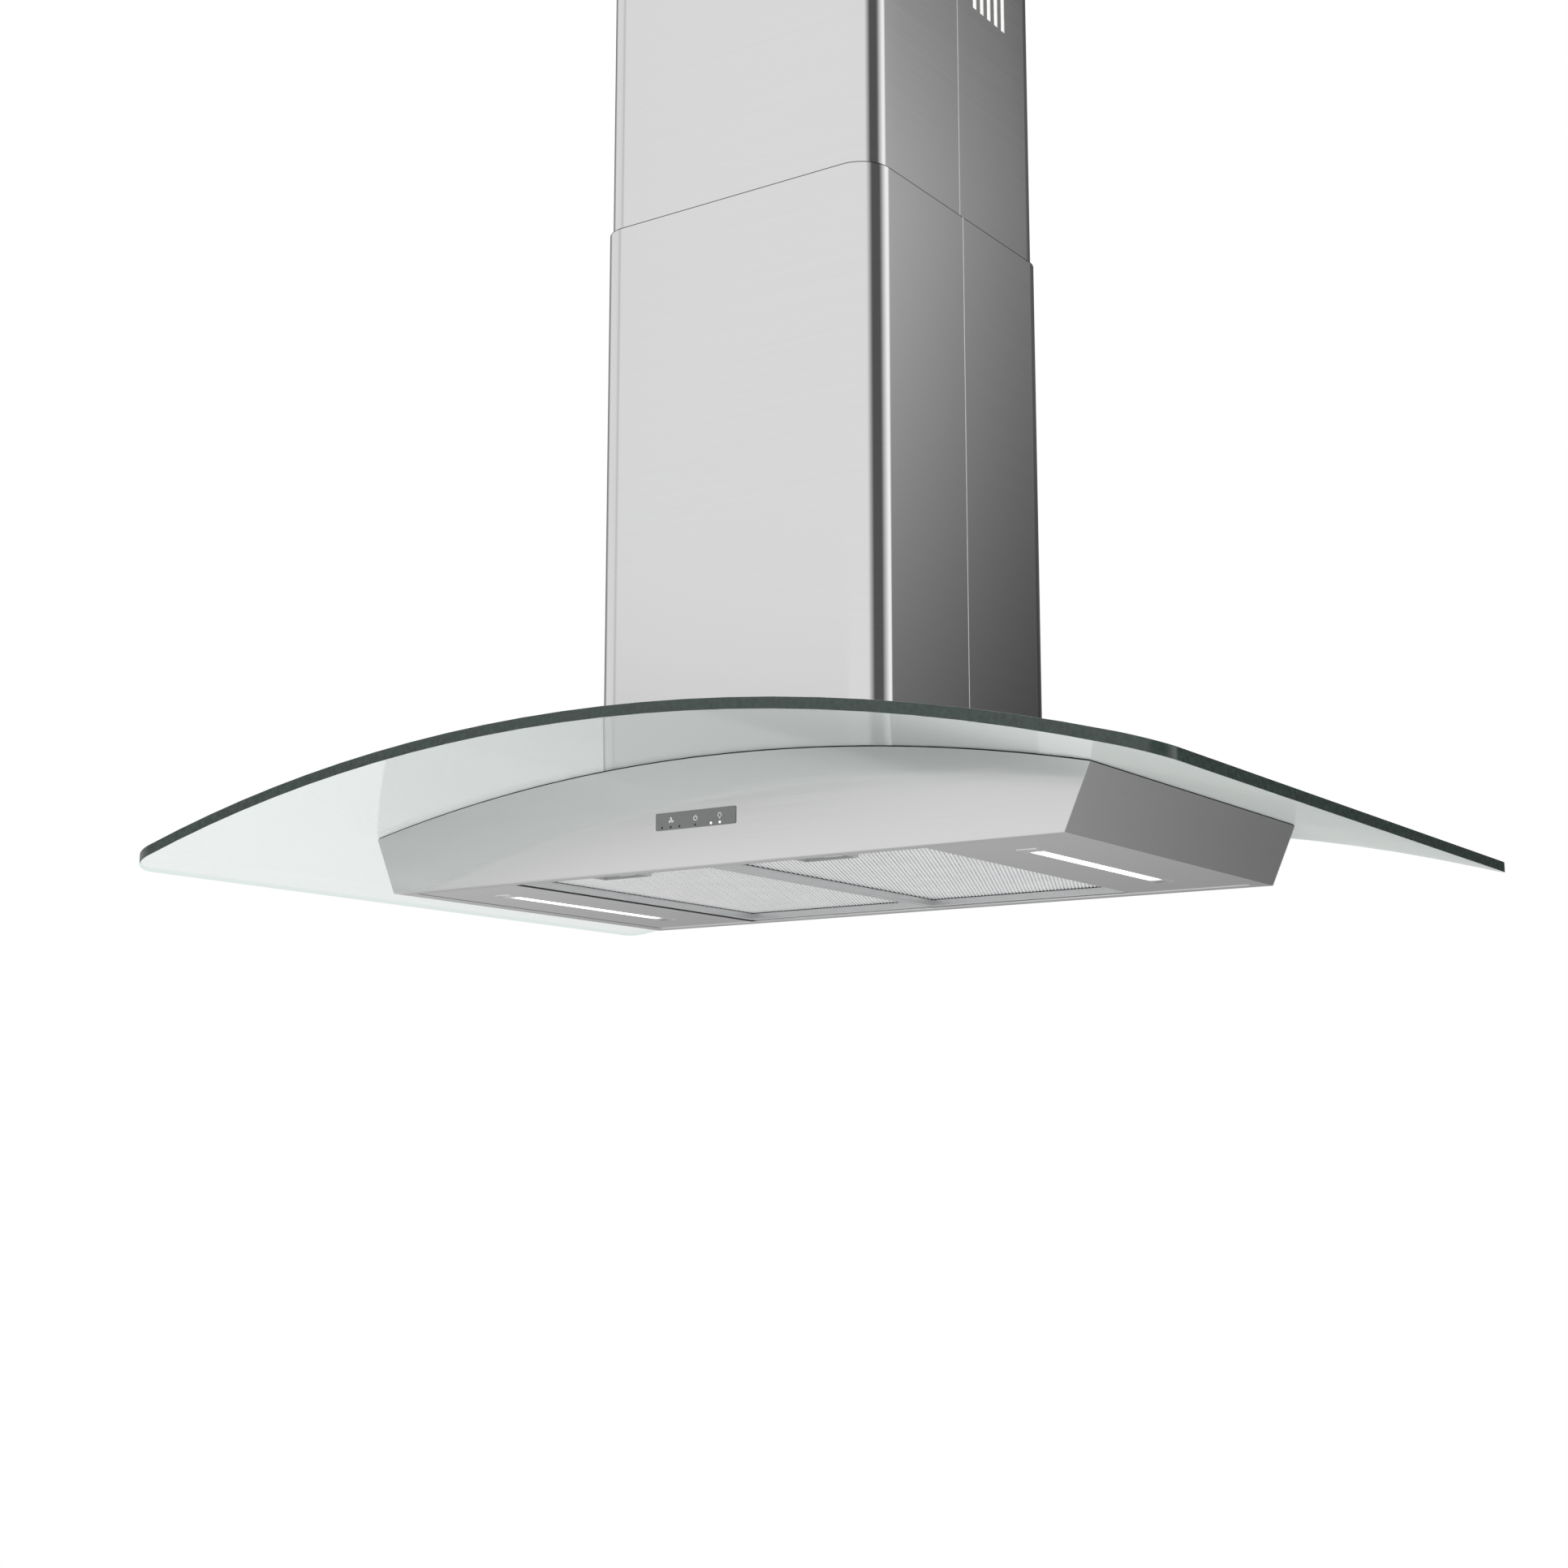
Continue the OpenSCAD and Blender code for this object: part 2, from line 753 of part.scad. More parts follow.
module lamp_bezel() {
  w = lamp_w - 2 * bezel_fit;
  l = lamp_len - 2 * bezel_fit;
  flange_z = panel_z + sheet_t + 0.1;
  face_z = panel_z - 0.3;
  translate([lamp_x, lamp_y, 0]) difference() {
    union() {
      translate([0, 0, face_z]) linear_extrude(bezel_h) square([w, l], center = true);
      translate([0, 0, flange_z]) linear_extrude(1)
        square([w + 2 * bezel_flange, l + 2 * bezel_flange], center = true);
    }
    translate([0, 0, face_z + bezel_face]) linear_extrude(bezel_h)
      square([w - 2 * bezel_wall, l - 2 * bezel_wall], center = true);
    linear_extrude(bezel_h) square([w - 2 * bezel_side, l - 2 * bezel_end], center = true);
  }
}

module lamp_bezel_right() {
  color(STEEL) hang() lamp_bezel();
}

module lamp_bezel_left() {
  color(STEEL) hang() mirror([1, 0, 0]) lamp_bezel();
}

module lamp_diffuser() {
  rest = 5;
  w = lamp_w - 2 * bezel_fit - 2 * bezel_wall - 0.2;
  l = lamp_len - 2 * bezel_fit - 2 * bezel_end + 2 * rest;
  translate([lamp_x, lamp_y, diffuser_z]) linear_extrude(2) square([w, l], center = true);
}

module lamp_diffuser_right() {
  color(WHITE) hang() lamp_diffuser();
}

module lamp_diffuser_left() {
  color(WHITE) hang() mirror([1, 0, 0]) lamp_diffuser();
}

module led_boards() {
  board_z = panel_z + bezel_h;
  leds = 12;
  led_pitch = 17.5;
  color(BOARD) hang() both_x() {
    translate([lamp_x, lamp_y, board_z]) linear_extrude(1.6) square([19, 214], center = true);
    for (i = [0:leds - 1]) {
      translate([lamp_x, lamp_y + (i - (leds - 1) / 2) * led_pitch, board_z - 1])
        linear_extrude(1.2) square([3.5, 2.8], center = true);
    }
  }
}

module lamp_housings() {
  z0 = panel_z + sheet_t + 0.1;
  w = 30;
  l = 236;
  t = 1;
  h = 20;
  color(ZINC) hang() both_x() translate([lamp_x, lamp_y, z0]) difference() {
    linear_extrude(h) square([w, l], center = true);
    translate([0, 0, -1]) linear_extrude(h + 1 - t) square([w - 2 * t, l - 2 * t], center = true);
  }
}

// ---------- controls ----------

module control_fascia() {
  y0 = -half_d - fascia_proud;
  inner = 0.2;
  color(GREY) hang() difference() {
    union() {
      xz_slab([y0, -half_d]) translate([0, fascia_z + fascia_h / 2]) rounded(fascia_w, fascia_h, 1.2);
      span([inner - window_w / 2, window_w / 2 - inner], [-half_d - 0.1, 0.8 - half_d],
        [window_z[0] + inner, window_z[1] - inner]);
    }
    for (x = concat(dots_dark, dots_lit)) {
      along_y(x, [y0 - 1, 3 - half_d], dot_z, dot_r + 0.05);
    }
  }
}

module control_board() {
  y = [1.2 - half_d, 2.8 - half_d];
  color(BOARD) hang() {
    span([-36, 36], y, [fascia_z, fascia_z + 12]);
    span([-12, -4], [y[1] - 0.1, y[1] + 1.5], [fascia_z + 2, fascia_z + 10]);
    span([20, 32], [y[1] - 0.1, y[1] + 6], [fascia_z + 3, fascia_z + 9]);
  }
}

module dots(xs) {
  for (x = xs) {
    along_y(x, [-half_d - fascia_proud - 0.15, 1.15 - half_d], dot_z, dot_r);
  }
}

module indicators_lit() {
  color(WHITE) hang() dots(dots_lit);
}

module indicators_dark() {
  color(BLACK) hang() dots(dots_dark);
}

// ---------- air box and blower ----------

cover_screw_xs = 110;
cover_screw_zs = [125, 215, 305];
collar_flange_r = 86;
collar_screw_r = 80.2;

module airbox_shell() {
  t = sheet_t;
  lip = 12;
  y0 = t - box_y;
  color(ZINC) hang() difference() {
    union() {
      difference() {
        span([-box_x, box_x], [y0, box_y], [box_z0, box_z1]);
        span([t - box_x, box_x - t], [y0 - 1, box_y - t], [box_z0 + t, box_z1 - t]);
      }
      both_x() span([box_x - lip, box_x], [y0, y0 + t], [box_z0, box_z1]);
    }
    span([lip - box_x, box_x - lip], [y0 + lip, box_y - lip], [box_z0 - 1, box_z0 + t + 1]);
    along_z(0, 0, [box_z1 - 3, box_z1 + 1], duct_r - collar_t);
    for (z = cover_screw_zs) {
      both_x() along_y(cover_screw_xs, [y0 - 1, y0 + t + 1], z, screw_r + hole_fit);
    }
    four_ways() along_z(airbox_screw_x, airbox_screw_y, [box_z0 - 1, box_z0 + t + 1], screw_r + hole_fit);
    for (a = [0:90:270]) {
      rotate([0, 0, a]) along_z(collar_screw_r, 0, [box_z1 - 3, box_z1 + 1], 1.6);
    }
  }
}

module airbox_cover() {
  color(ZINC) hang() difference() {
    span([-box_x, box_x], [-box_y, sheet_t - box_y], [box_z0, box_z1]);
    for (z = cover_screw_zs) {
      both_x() along_y(cover_screw_xs, [-box_y - 1, 2 - box_y], z, screw_r + hole_fit);
    }
  }
}

// quarter discs of growing radius form the spiral; grow widens it by the wall
module volute(grow) {
  top = box_z1 - sheet_t - wheel_z;
  step = 8;
  r0 = 84;
  r = [r0 + grow, r0 + step + grow, r0 + 2 * step + grow];
  half = step / 2;
  intersection() {
    translate([-half, -half]) circle(r = r[0], $fn = fine);
    translate([-200 - half, -half]) square([200, 200]);
  }
  intersection() {
    translate([half, -half]) circle(r = r[1], $fn = fine);
    translate([-200 + half, -200 - half]) square([200, 200]);
  }
  intersection() {
    translate([half, half]) circle(r = r[2], $fn = fine);
    translate([half, -200 + half]) square([200, 200]);
  }
  intersection() {
    circle(r = r[0] - half, $fn = fine);
    translate([-half, -half]) square([200, 200]);
  }
  polygon([[20 - grow, 0], [half + r[2], 0], [half + r[2], 92], [84 + grow, top], [-66 - grow, top],
    [20 - grow, 70]]);
}

module scroll_half_shell() {
  inner_y = scroll_half - scroll_t;
  lip_r = 60;
  curl = 3;
  joint = 0.1;
  eps = 0.01;
  translate([wheel_x, 0, wheel_z]) {
    difference() {
      union() {
        xz_slab([-scroll_half, -joint]) volute(scroll_t);
        rotate([90, 0, 0]) translate([0, 0, scroll_half]) rotate_extrude($fn = fine)
          translate([lip_r + curl, 0]) circle(r = curl, $fn = 32);
      }
      xz_slab([-inner_y, 1]) volute(0);
      along_y(0, [-scroll_half - 5, -inner_y + 1], 0, lip_r + curl - eps);
      span([-66, 84], [-inner_y, 1], [box_z1 - sheet_t - wheel_z - 1, 300]);
    }
    difference() {
      along_y(0, [-scroll_half, -wheel_half - 2], 0, lip_r + curl);
      along_y(0, [-scroll_half - 1, -wheel_half], 0, lip_r + 1.5);
    }
  }
}

module scroll_front() {
  color(BLACK) hang() scroll_half_shell();
}

module scroll_rear() {
  color(BLACK) hang() mirror([0, 1, 0]) scroll_half_shell();
}

module motor() {
  cap_r = 30;
  cap_t = 6;
  color(ZINC) hang() translate([wheel_x, 0, wheel_z]) difference() {
    union() {
      along_y(0, [motor_y0 + cap_t, motor_y1 - cap_t], 0, motor_r);
      along_y(0, [motor_y0, motor_y1], 0, cap_r);
    }
    along_y(0, [motor_y0 - 1, motor_y1 + 1], 0, shaft_r + shaft_fit);
    for (a = [15:30:345]) {
      rotate([0, a, 0]) along_y(motor_r + 1, [motor_y0 + cap_t + 8, motor_y1 - cap_t - 8], 0, 2.4);
    }
  }
}

module motor_bracket() {
  arm_w = 14;
  arm_y = [-66, -63];
  foot_r = 79;
  ring_r = motor_r + 4;
  color(ZINC) hang() translate([wheel_x, 0, wheel_z]) difference() {
    union() {
      along_y(0, [-68, -60], 0, ring_r);
      for (a = [30, 150, 270]) {
        rotate([0, a, 0]) span([motor_r + 2, foot_r + 6], arm_y, [-arm_w / 2, arm_w / 2]);
        rotate([0, a, 0]) span([foot_r - 4, foot_r + 6], [arm_y[0], -scroll_half], [-arm_w / 2, arm_w / 2]);
      }
    }
    along_y(0, [-70, -50], 0, motor_r + 0.1);
    for (a = [30, 150, 270]) {
      rotate([0, a, 0]) along_y(foot_r + 1, [-70, -50], 0, screw_r + hole_fit);
    }
  }
}

module capacitor() {
  can_r = 13;
  x = 88;
  y = box_y - sheet_t - can_r - 0.1;
  color(WHITE) hang() {
    along_z(x, y, [128, 178], can_r);
    along_z(x, y, [177, 181], can_r - 3);
    along_z(x, y, [122, 129], 3);
  }
}

module duct_collar() {
  color(BLACK) hang() difference() {
    union() {
      along_z(0, 0, [box_z1, box_z1 + 2], collar_flange_r);
      along_z(0, 0, [box_z1, collar_z1], duct_r);
    }
    along_z(0, 0, [box_z1 - 1, collar_z1 + 1], duct_r - collar_t);
    along_y(0, [-duct_r - 1, duct_r + 1], pin_z, pin_r + 0.05);
    for (a = [0:90:270]) {
      rotate([0, 0, a]) along_z(collar_screw_r, 0, [box_z1 - 1, box_z1 + 3], 1.6);
    }
  }
}

module damper_pin() {
  color(STEEL) hang() along_y(0, [0.1 - duct_r, duct_r - 0.1], pin_z, pin_r);
}

// side is 1 for the right flap, -1 for the left
module damper_flap(side) {
  first = side > 0 ? 0 : 1;
  run = 2 * flap_r - 6;
  step = run / knuckles;
  gap = 0.2;
  clear_r = knuckle_r + 0.5;
  translate([0, 0, pin_z]) mirror([side > 0 ? 0 : 1, 0, 0]) difference() {
    union() {
      intersection() {
        along_z(0, 0, [-flap_t / 2, flap_t / 2], flap_r);
        span([clear_r, big], [-big, big], [-1, 1]);
      }
      for (i = [first:2:knuckles - 1]) {
        y = -run / 2 + i * step;
        along_y(0, [y + gap, y + step - gap], 0, knuckle_r);
        span([0, clear_r + 1], [y + gap, y + step - gap], [-flap_t / 2, flap_t / 2]);
      }
    }
    along_y(0, [-big, big], 0, pin_r + shaft_fit);
  }
}

module damper_flap_right() {
  color(GREY) hang() damper_flap(1);
}

module damper_flap_left() {
  color(GREY) hang() damper_flap(-1);
}

knockout_r = 11.1;
knockout_y = -113;

// junction box, closed at the back by the air box cover
module wiring_box() {
  t = sheet_t;
  y = [-126, -box_y];
  z = [100, 190];
  color(ZINC) hang() difference() {
    span([-45, 45], y, z);
    span([t - 45, 45 - t], [y[0] + t, y[1] + 1], [z[0] + t, z[1] - t]);
    along_z(0, knockout_y, [z[1] - 3, z[1] + 1], knockout_r);
  }
}

module driver_box() {
  color(WHITE) hang() {
    span([-60, 60], [box_y, box_y + 24], [102, 150]);
    both_x() span([58, 72], [box_y, box_y + 3], [112, 140]);
    for (x = [-40:20:40]) {
      span([x - 6, x + 6], [box_y + 4, box_y + 20], [149, 158]);
    }
  }
}

module hood_screws() {
  tab_x = lower_leg_x;
  color(STEEL) hang() {
    four_ways() {
      along_x([tab_x - 6, tab_x + 0.5], bolt_y, base_screw_z, screw_r);
      along_x([tab_x, tab_x + 2], bolt_y, base_screw_z, screw_head_r);
      along_z(chassis_bolt_x, chassis_bolt_y, [base_z - 5, base_z + 2], screw_r);
      along_z(chassis_bolt_x, chassis_bolt_y, [base_z + base_t, base_z + base_t + 2.5], screw_head_r);
      along_z(chassis_bolt_x, chassis_bolt_y, [base_z - sheet_t - 3, base_z - sheet_t], screw_head_r);
      along_z(airbox_screw_x, airbox_screw_y, [base_z + 0.1, box_z0 + sheet_t + 1], screw_r);
      along_z(airbox_screw_x, airbox_screw_y, [box_z0 + sheet_t, box_z0 + sheet_t + 2], screw_head_r);
    }
    for (z = cover_screw_zs) {
      both_x() along_y(cover_screw_xs, [-box_y - 1, 5 - box_y], z, screw_r);
      both_x() along_y(cover_screw_xs, [-box_y - 2, -box_y], z, screw_head_r);
    }
    for (a = [0:90:270]) {
      rotate([0, 0, a]) {
        along_z(collar_screw_r, 0, [box_z1 - 4, box_z1 + 3], 1.5);
        along_z(collar_screw_r, 0, [box_z1 + 2, box_z1 + 4], 3);
      }
    }
    for (a = [30, 150, 270]) {
      translate([wheel_x, 0, wheel_z]) rotate([0, a, 0]) {
        along_y(80, [-68, -scroll_half - 0.1], 0, screw_r);
        along_y(80, [-68, -66], 0, screw_head_r);
      }
    }
  }
}

module impeller_wheel() {
  ring_t = 2;
  hub_r = 12;
  blade_t = 0.9;
  blade_lean = 32;
  inner_r = wheel_r - blade_depth;
  color(BLACK) hang() translate([wheel_x, 0, wheel_z]) {
    for (y = [-wheel_half, wheel_half - ring_t]) {
      difference() {
        along_y(0, [y, y + ring_t], 0, wheel_r);
        along_y(0, [y - 1, y + ring_t + 1], 0, inner_r);
      }
    }
    difference() {
      union() {
        along_y(0, [-1, 1], 0, wheel_r - 1);
        along_y(0, [0, 16], 0, hub_r);
      }
      along_y(0, [-2, 20], 0, shaft_r + 0.02);
    }
    for (i = [0:blades - 1]) {
      rotate([0, i * 360 / blades, 0]) translate([wheel_r - blade_depth / 2 - 0.6, 0, 0])
        rotate([0, blade_lean, 0]) cube([blade_depth - 2, 2 * wheel_half - 2, blade_t], center = true);
    }
  }
}

module motor_shaft() {
  color(STEEL) hang() translate([wheel_x, 0, wheel_z]) along_y(0, [motor_y0 + 2, 14], 0, shaft_r);
}

// ---------- grease filters ----------

module filter_frame() {
  x = [filter_x0, filter_x1];
  y = filter_half_d;
  z0 = filter_z0;
  z1 = filter_z0 + filter_h;
  t = filter_t;
  cx = (filter_x0 + filter_x1) / 2;
  sx = cx + slider_offset;
  tab_x = 60;
  difference() {
    union() {
      difference() {
        span(x, [-y, y], [z0, z1]);
        span([x[0] + t, x[1] - t], [t - y, y - t], [z0 + t, z1 - t]);
        span([x[0] + filter_lip, x[1] - filter_lip], [filter_lip - y, y - filter_lip], [z0 - 1, z1 + 1]);
      }
      difference() {
        span([x[0] + filter_lip - t, x[1] - filter_lip + t], [filter_lip - t - y, y - filter_lip + t],
          [z0, mesh_z0 - 0.1]);
        span([x[0] + filter_lip, x[1] - filter_lip], [filter_lip - y, y - filter_lip], [z0 - 1, z1 + 1]);
      }
      for (s = [-1, 1]) {
        span([cx + s * tab_x - 10, cx + s * tab_x + 10], [y - t, y + 6.5], [tab_z0, tab_z0 + 1]);
      }
    }
    span([cx - cup_w / 2 - slide_fit, cx + cup_w / 2 + slide_fit],
      [t - y, t - y + cup_d + 2 * slide_fit], [z0 - 1, z1 - t]);
    span([sx - slider_w / 2 - slide_fit, sx + slider_w / 2 + slide_fit], [-y - 1, t - y + 1],
      [slider_z0 - slide_fit, slider_z0 + slider_t + slide_fit]);
  }
}

module filter_frame_right() {
  color(STEEL) hang() filter_frame();
}

module filter_frame_left() {
  color(STEEL) hang() translate([-filter_x0 - filter_x1, 0, 0]) filter_frame();
}

module filter_mesh() {
  t = filter_t + 0.2;
  y = filter_half_d - t;
  x = [filter_x0 + t, filter_x1 - t];
  w = x[1] - x[0];
  cx = (filter_x0 + filter_x1) / 2;
  strand_w = 2.4;
  rows = ceil((w + 2 * y) / strand_pitch / 2);
  bar_w = 3;
  translate([0, 0, mesh_z0]) linear_extrude(mesh_t) difference() {
    translate([x[0], -y]) square([w, 2 * y]);
    intersection() {
      for (i = [-rows:rows]) {
        translate([cx + i * strand_pitch, 0]) rotate(strand_angle)
          square([4 * y, strand_pitch * sin(strand_angle) - strand_w], center = true);
      }
      for (s = [-1, 1]) {
        translate([cx, s * (y - filter_lip + 1 + bar_w / 2) / 2])
          square([w - 2 * filter_lip + 2, y - filter_lip + 1 - bar_w / 2], center = true);
      }
    }
    translate([cx, filter_t - filter_half_d + cup_d / 2 + slide_fit])
      square([cup_w + 1, cup_d + 1.2], center = true);
  }
}

module filter_mesh_right() {
  color(STEEL) hang() filter_mesh();
}

module filter_mesh_left() {
  color(STEEL) hang() translate([-filter_x0 - filter_x1, 0, 0]) filter_mesh();
}

module latch_cup() {
  cx = (filter_x0 + filter_x1) / 2;
  sx = cx + slider_offset;
  y0 = filter_t - filter_half_d + slide_fit;
  z0 = filter_z0 + 0.1;
  w = cup_wall;
  difference() {
    span([cx - cup_w / 2, cx + cup_w / 2], [y0, y0 + cup_d], [z0, z0 + cup_h - 0.4]);
    span([cx - cup_w / 2 + w, cx + cup_w / 2 - w], [y0 + w, y0 + cup_d - w], [z0 - 1, z0 + cup_h - 0.4 - w]);
    span([sx - slider_w / 2 - slide_fit, sx + slider_w / 2 + slide_fit], [y0 - 1, y0 + w + 1],
      [slider_z0 - slide_fit, slider_z0 + slider_t + slide_fit]);
  }
}

module latch_cup_right() {
  color(GREY) hang() latch_cup();
}

module latch_cup_left() {
  color(GREY) hang() translate([-filter_x0 - filter_x1, 0, 0]) latch_cup();
}

// sprung slider whose tongue lies over the front rim
module latch_slider() {
  cx = (filter_x0 + filter_x1) / 2 + slider_offset;
  tip = -half_d + rim_w - 5;
  back = tip + 19;
  span([cx - slider_w / 2, cx + slider_w / 2], [tip, back], [slider_z0, slider_z0 + slider_t]);
  span([cx - slider_w / 2, cx + slider_w / 2], [back - 2, back], [filter_z0 + 0.4, slider_z0 + slider_t]);
}

module latch_slider_right() {
  color(STEEL) hang() latch_slider();
}

module latch_slider_left() {
  color(STEEL) hang() translate([-filter_x0 - filter_x1, 0, 0]) latch_slider();
}

// ---------- draw ----------

ceiling_bracket();
upper_legs();
upper_ties();
upper_cover_front();
upper_cover_rear();
air_diverter();
diverter_spigot();
diverter_hangers();
upper_screws();
lower_legs();
lower_ties();
frame_bolts();
frame_base();
base_seal();
lower_cover_front();
lower_cover_rear();
glass_canopy();
glass_gasket();
chassis_plate();
front_panel();
rear_panel();
end_panel_left();
end_panel_right();
light_panel_left();
light_panel_right();
lamp_bezel_left();
lamp_bezel_right();
lamp_diffuser_left();
lamp_diffuser_right();
led_boards();
lamp_housings();
control_fascia();
control_board();
indicators_lit();
indicators_dark();
airbox_shell();
airbox_cover();
scroll_front();
scroll_rear();
motor();
motor_bracket();
capacitor();
duct_collar();
damper_pin();
wiring_box();
driver_box();
hood_screws();
impeller_wheel();
motor_shaft();
damper_flap_left();
damper_flap_right();
filter_frame_left();
filter_frame_right();
filter_mesh_left();
filter_mesh_right();
latch_cup_left();
latch_cup_right();
latch_slider_left();
latch_slider_right();
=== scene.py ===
"""Island range hood with a curved glass canopy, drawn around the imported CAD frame.

Metres. The origin is the centre of the ceiling bracket's top face. Heights named h are above
the canopy's underside, and level() turns them into the frame's Z.
"""

import math

import bmesh
import bpy
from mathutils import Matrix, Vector


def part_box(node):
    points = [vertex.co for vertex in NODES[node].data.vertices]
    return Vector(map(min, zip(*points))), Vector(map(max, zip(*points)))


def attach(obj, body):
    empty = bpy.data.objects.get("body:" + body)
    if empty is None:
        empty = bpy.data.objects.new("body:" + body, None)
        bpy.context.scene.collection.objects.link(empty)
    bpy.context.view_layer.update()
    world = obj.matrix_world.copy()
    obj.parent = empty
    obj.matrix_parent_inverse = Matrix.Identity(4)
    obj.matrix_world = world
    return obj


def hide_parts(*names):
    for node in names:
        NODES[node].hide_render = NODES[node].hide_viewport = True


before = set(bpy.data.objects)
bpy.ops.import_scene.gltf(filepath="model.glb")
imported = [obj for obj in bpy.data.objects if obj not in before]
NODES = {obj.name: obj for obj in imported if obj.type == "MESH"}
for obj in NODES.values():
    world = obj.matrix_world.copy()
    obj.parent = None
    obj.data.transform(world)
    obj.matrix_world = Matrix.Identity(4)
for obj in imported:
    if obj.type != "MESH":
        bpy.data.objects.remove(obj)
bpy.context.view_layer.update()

MM = 0.001
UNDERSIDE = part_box("front_panel")[0].z


def level(h):
    return UNDERSIDE + h


# ---------- camera ----------

CAMERA_PLACE = (1.0067, -1.5300, level(-0.2223))
CAMERA_PITCH = math.radians(90 + 9.57)
CAMERA_YAW = 0.601
CAMERA_LENS = 52.54
SENSOR = 36


def make_camera():
    data = bpy.data.cameras.new("camera")
    data.lens = CAMERA_LENS
    data.sensor_width = SENSOR
    data.clip_start, data.clip_end = 0.05, 60
    camera = bpy.data.objects.new("camera", data)
    camera.location = CAMERA_PLACE
    camera.rotation_euler = (CAMERA_PITCH, 0, CAMERA_YAW)
    bpy.context.scene.collection.objects.link(camera)
    bpy.context.scene.camera = camera


# ---------- node helpers ----------


class Tree:
    """Thin wrapper that makes nodes and joins them."""

    def __init__(self, tree):
        self.tree = tree
        tree.nodes.clear()

    def add(self, kind, **values):
        node = self.tree.nodes.new(kind)
        for key, value in values.items():
            setattr(node, key, value)
        return node

    def link(self, output, target):
        self.tree.links.new(output, target)

    def math(self, operation, a, b=None, clamp=False):
        node = self.add("ShaderNodeMath", operation=operation, use_clamp=clamp)
        for socket, value in zip(node.inputs, (a, b)):
            if value is None:
                continue
            if isinstance(value, (int, float)):
                socket.default_value = value
            else:
                self.link(value, socket)
        return node.outputs[0]

    def ramp(self, fac, stops):
        node = self.add("ShaderNodeValToRGB")
        ramp = node.color_ramp
        while len(ramp.elements) < len(stops):
            ramp.elements.new(0.5)
        for element, (place, value) in zip(ramp.elements, stops):
            element.position = place
            tone = value if isinstance(value, tuple) else (value, value, value)
            element.color = (*tone, 1)
        self.link(fac, node.inputs[0])
        return node.outputs[0]

    def mix(self, fac, a, b):
        node = self.add("ShaderNodeMixRGB")
        self.link(fac, node.inputs[0])
        for socket, value in zip(node.inputs[1:], (a, b)):
            if isinstance(value, tuple):
                socket.default_value = (*value, 1)
            else:
                self.link(value, socket)
        return node.outputs[0]

    def noise(self, vector, scale, detail=4.0, rough=0.55, stretch=(1, 1, 1)):
        mapping = self.add("ShaderNodeMapping")
        mapping.inputs["Scale"].default_value = stretch
        self.link(vector, mapping.inputs["Vector"])
        node = self.add("ShaderNodeTexNoise")
        node.inputs["Scale"].default_value = scale
        node.inputs["Detail"].default_value = detail
        node.inputs["Roughness"].default_value = rough
        self.link(mapping.outputs[0], node.inputs["Vector"])
        return node.outputs["Fac"]

    def span(self, value, low, high):
        node = self.add("ShaderNodeMapRange")
        node.inputs["From Min"].default_value = 0.3
        node.inputs["From Max"].default_value = 0.7
        node.inputs["To Min"].default_value = low
        node.inputs["To Max"].default_value = high
        self.link(value, node.inputs["Value"])
        return node.outputs[0]


def new_material(name):
    material = bpy.data.materials.new(name)
    material.use_nodes = True
    tree = Tree(material.node_tree)
    shader = tree.add("ShaderNodeBsdfPrincipled")
    output = tree.add("ShaderNodeOutputMaterial")
    tree.link(shader.outputs[0], output.inputs["Surface"])
    place = tree.add("ShaderNodeTexCoord").outputs["Object"]
    return material, tree, shader, place


def add_bump(tree, shader, height, strength, distance):
    bump = tree.add("ShaderNodeBump")
    bump.inputs["Strength"].default_value = strength
    bump.inputs["Distance"].default_value = distance
    tree.link(height, bump.inputs["Height"])
    tree.link(bump.outputs[0], shader.inputs["Normal"])


def tinted(tree, value, low, high):
    """Colour that runs from low to high with the value."""
    return tree.ramp(value, [(0.25, low), (0.75, high)])


# ---------- materials ----------

# brushed grain, in noise steps a metre across and along
GRAIN_FINE = 1500
GRAIN_BROAD = 240
GRAIN_LONG = 6
# sheet edges: painted highlights along the sheared cover seam and the bezel rims, and painted
# shade lines at the lower covers' top edge and beside the light panels' folds
HIGHLIGHT_TONE = (0.86, 0.87, 0.87)
HIGHLIGHT_MATT = 0.45
SEAM_HALF = 0.7 * MM
STEP_SHADE_DEPTH = 0.9 * MM
STEP_SHADE_TONE = (0.20, 0.20, 0.20)
GAP_SHADE_DEPTH = 0.5 * MM
GAP_SHADE_TONE = (0.10, 0.10, 0.10)
RIM_WIDTH = 1.6 * MM
BEZEL_FLANGE = 2.5 * MM


def seam_highlight_mask(tree, x, y, z):
    """Painted highlight along the sheared edges of the two cover halves, which meet at y = 0."""
    return tree.math("LESS_THAN", tree.math("ABSOLUTE", y), SEAM_HALF)


def step_shade_mask(tree, x, y, z):
    """Painted shade line along the top edge of the lower covers, where the upper covers rise out
    of them.
    """
    cover = "lower_cover_front"
    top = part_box(cover)[1].z - NODES[cover].matrix_world.translation.z
    return tree.math("GREATER_THAN", z, top - STEP_SHADE_DEPTH)


def gap_shade_mask(tree, x, y, z):
    """Painted shadow line along the folded edges of the light panels beside the filters."""
    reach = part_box("light_panel_right")[0].x + GAP_SHADE_DEPTH
    return tree.math("LESS_THAN", tree.math("ABSOLUTE", x), reach)


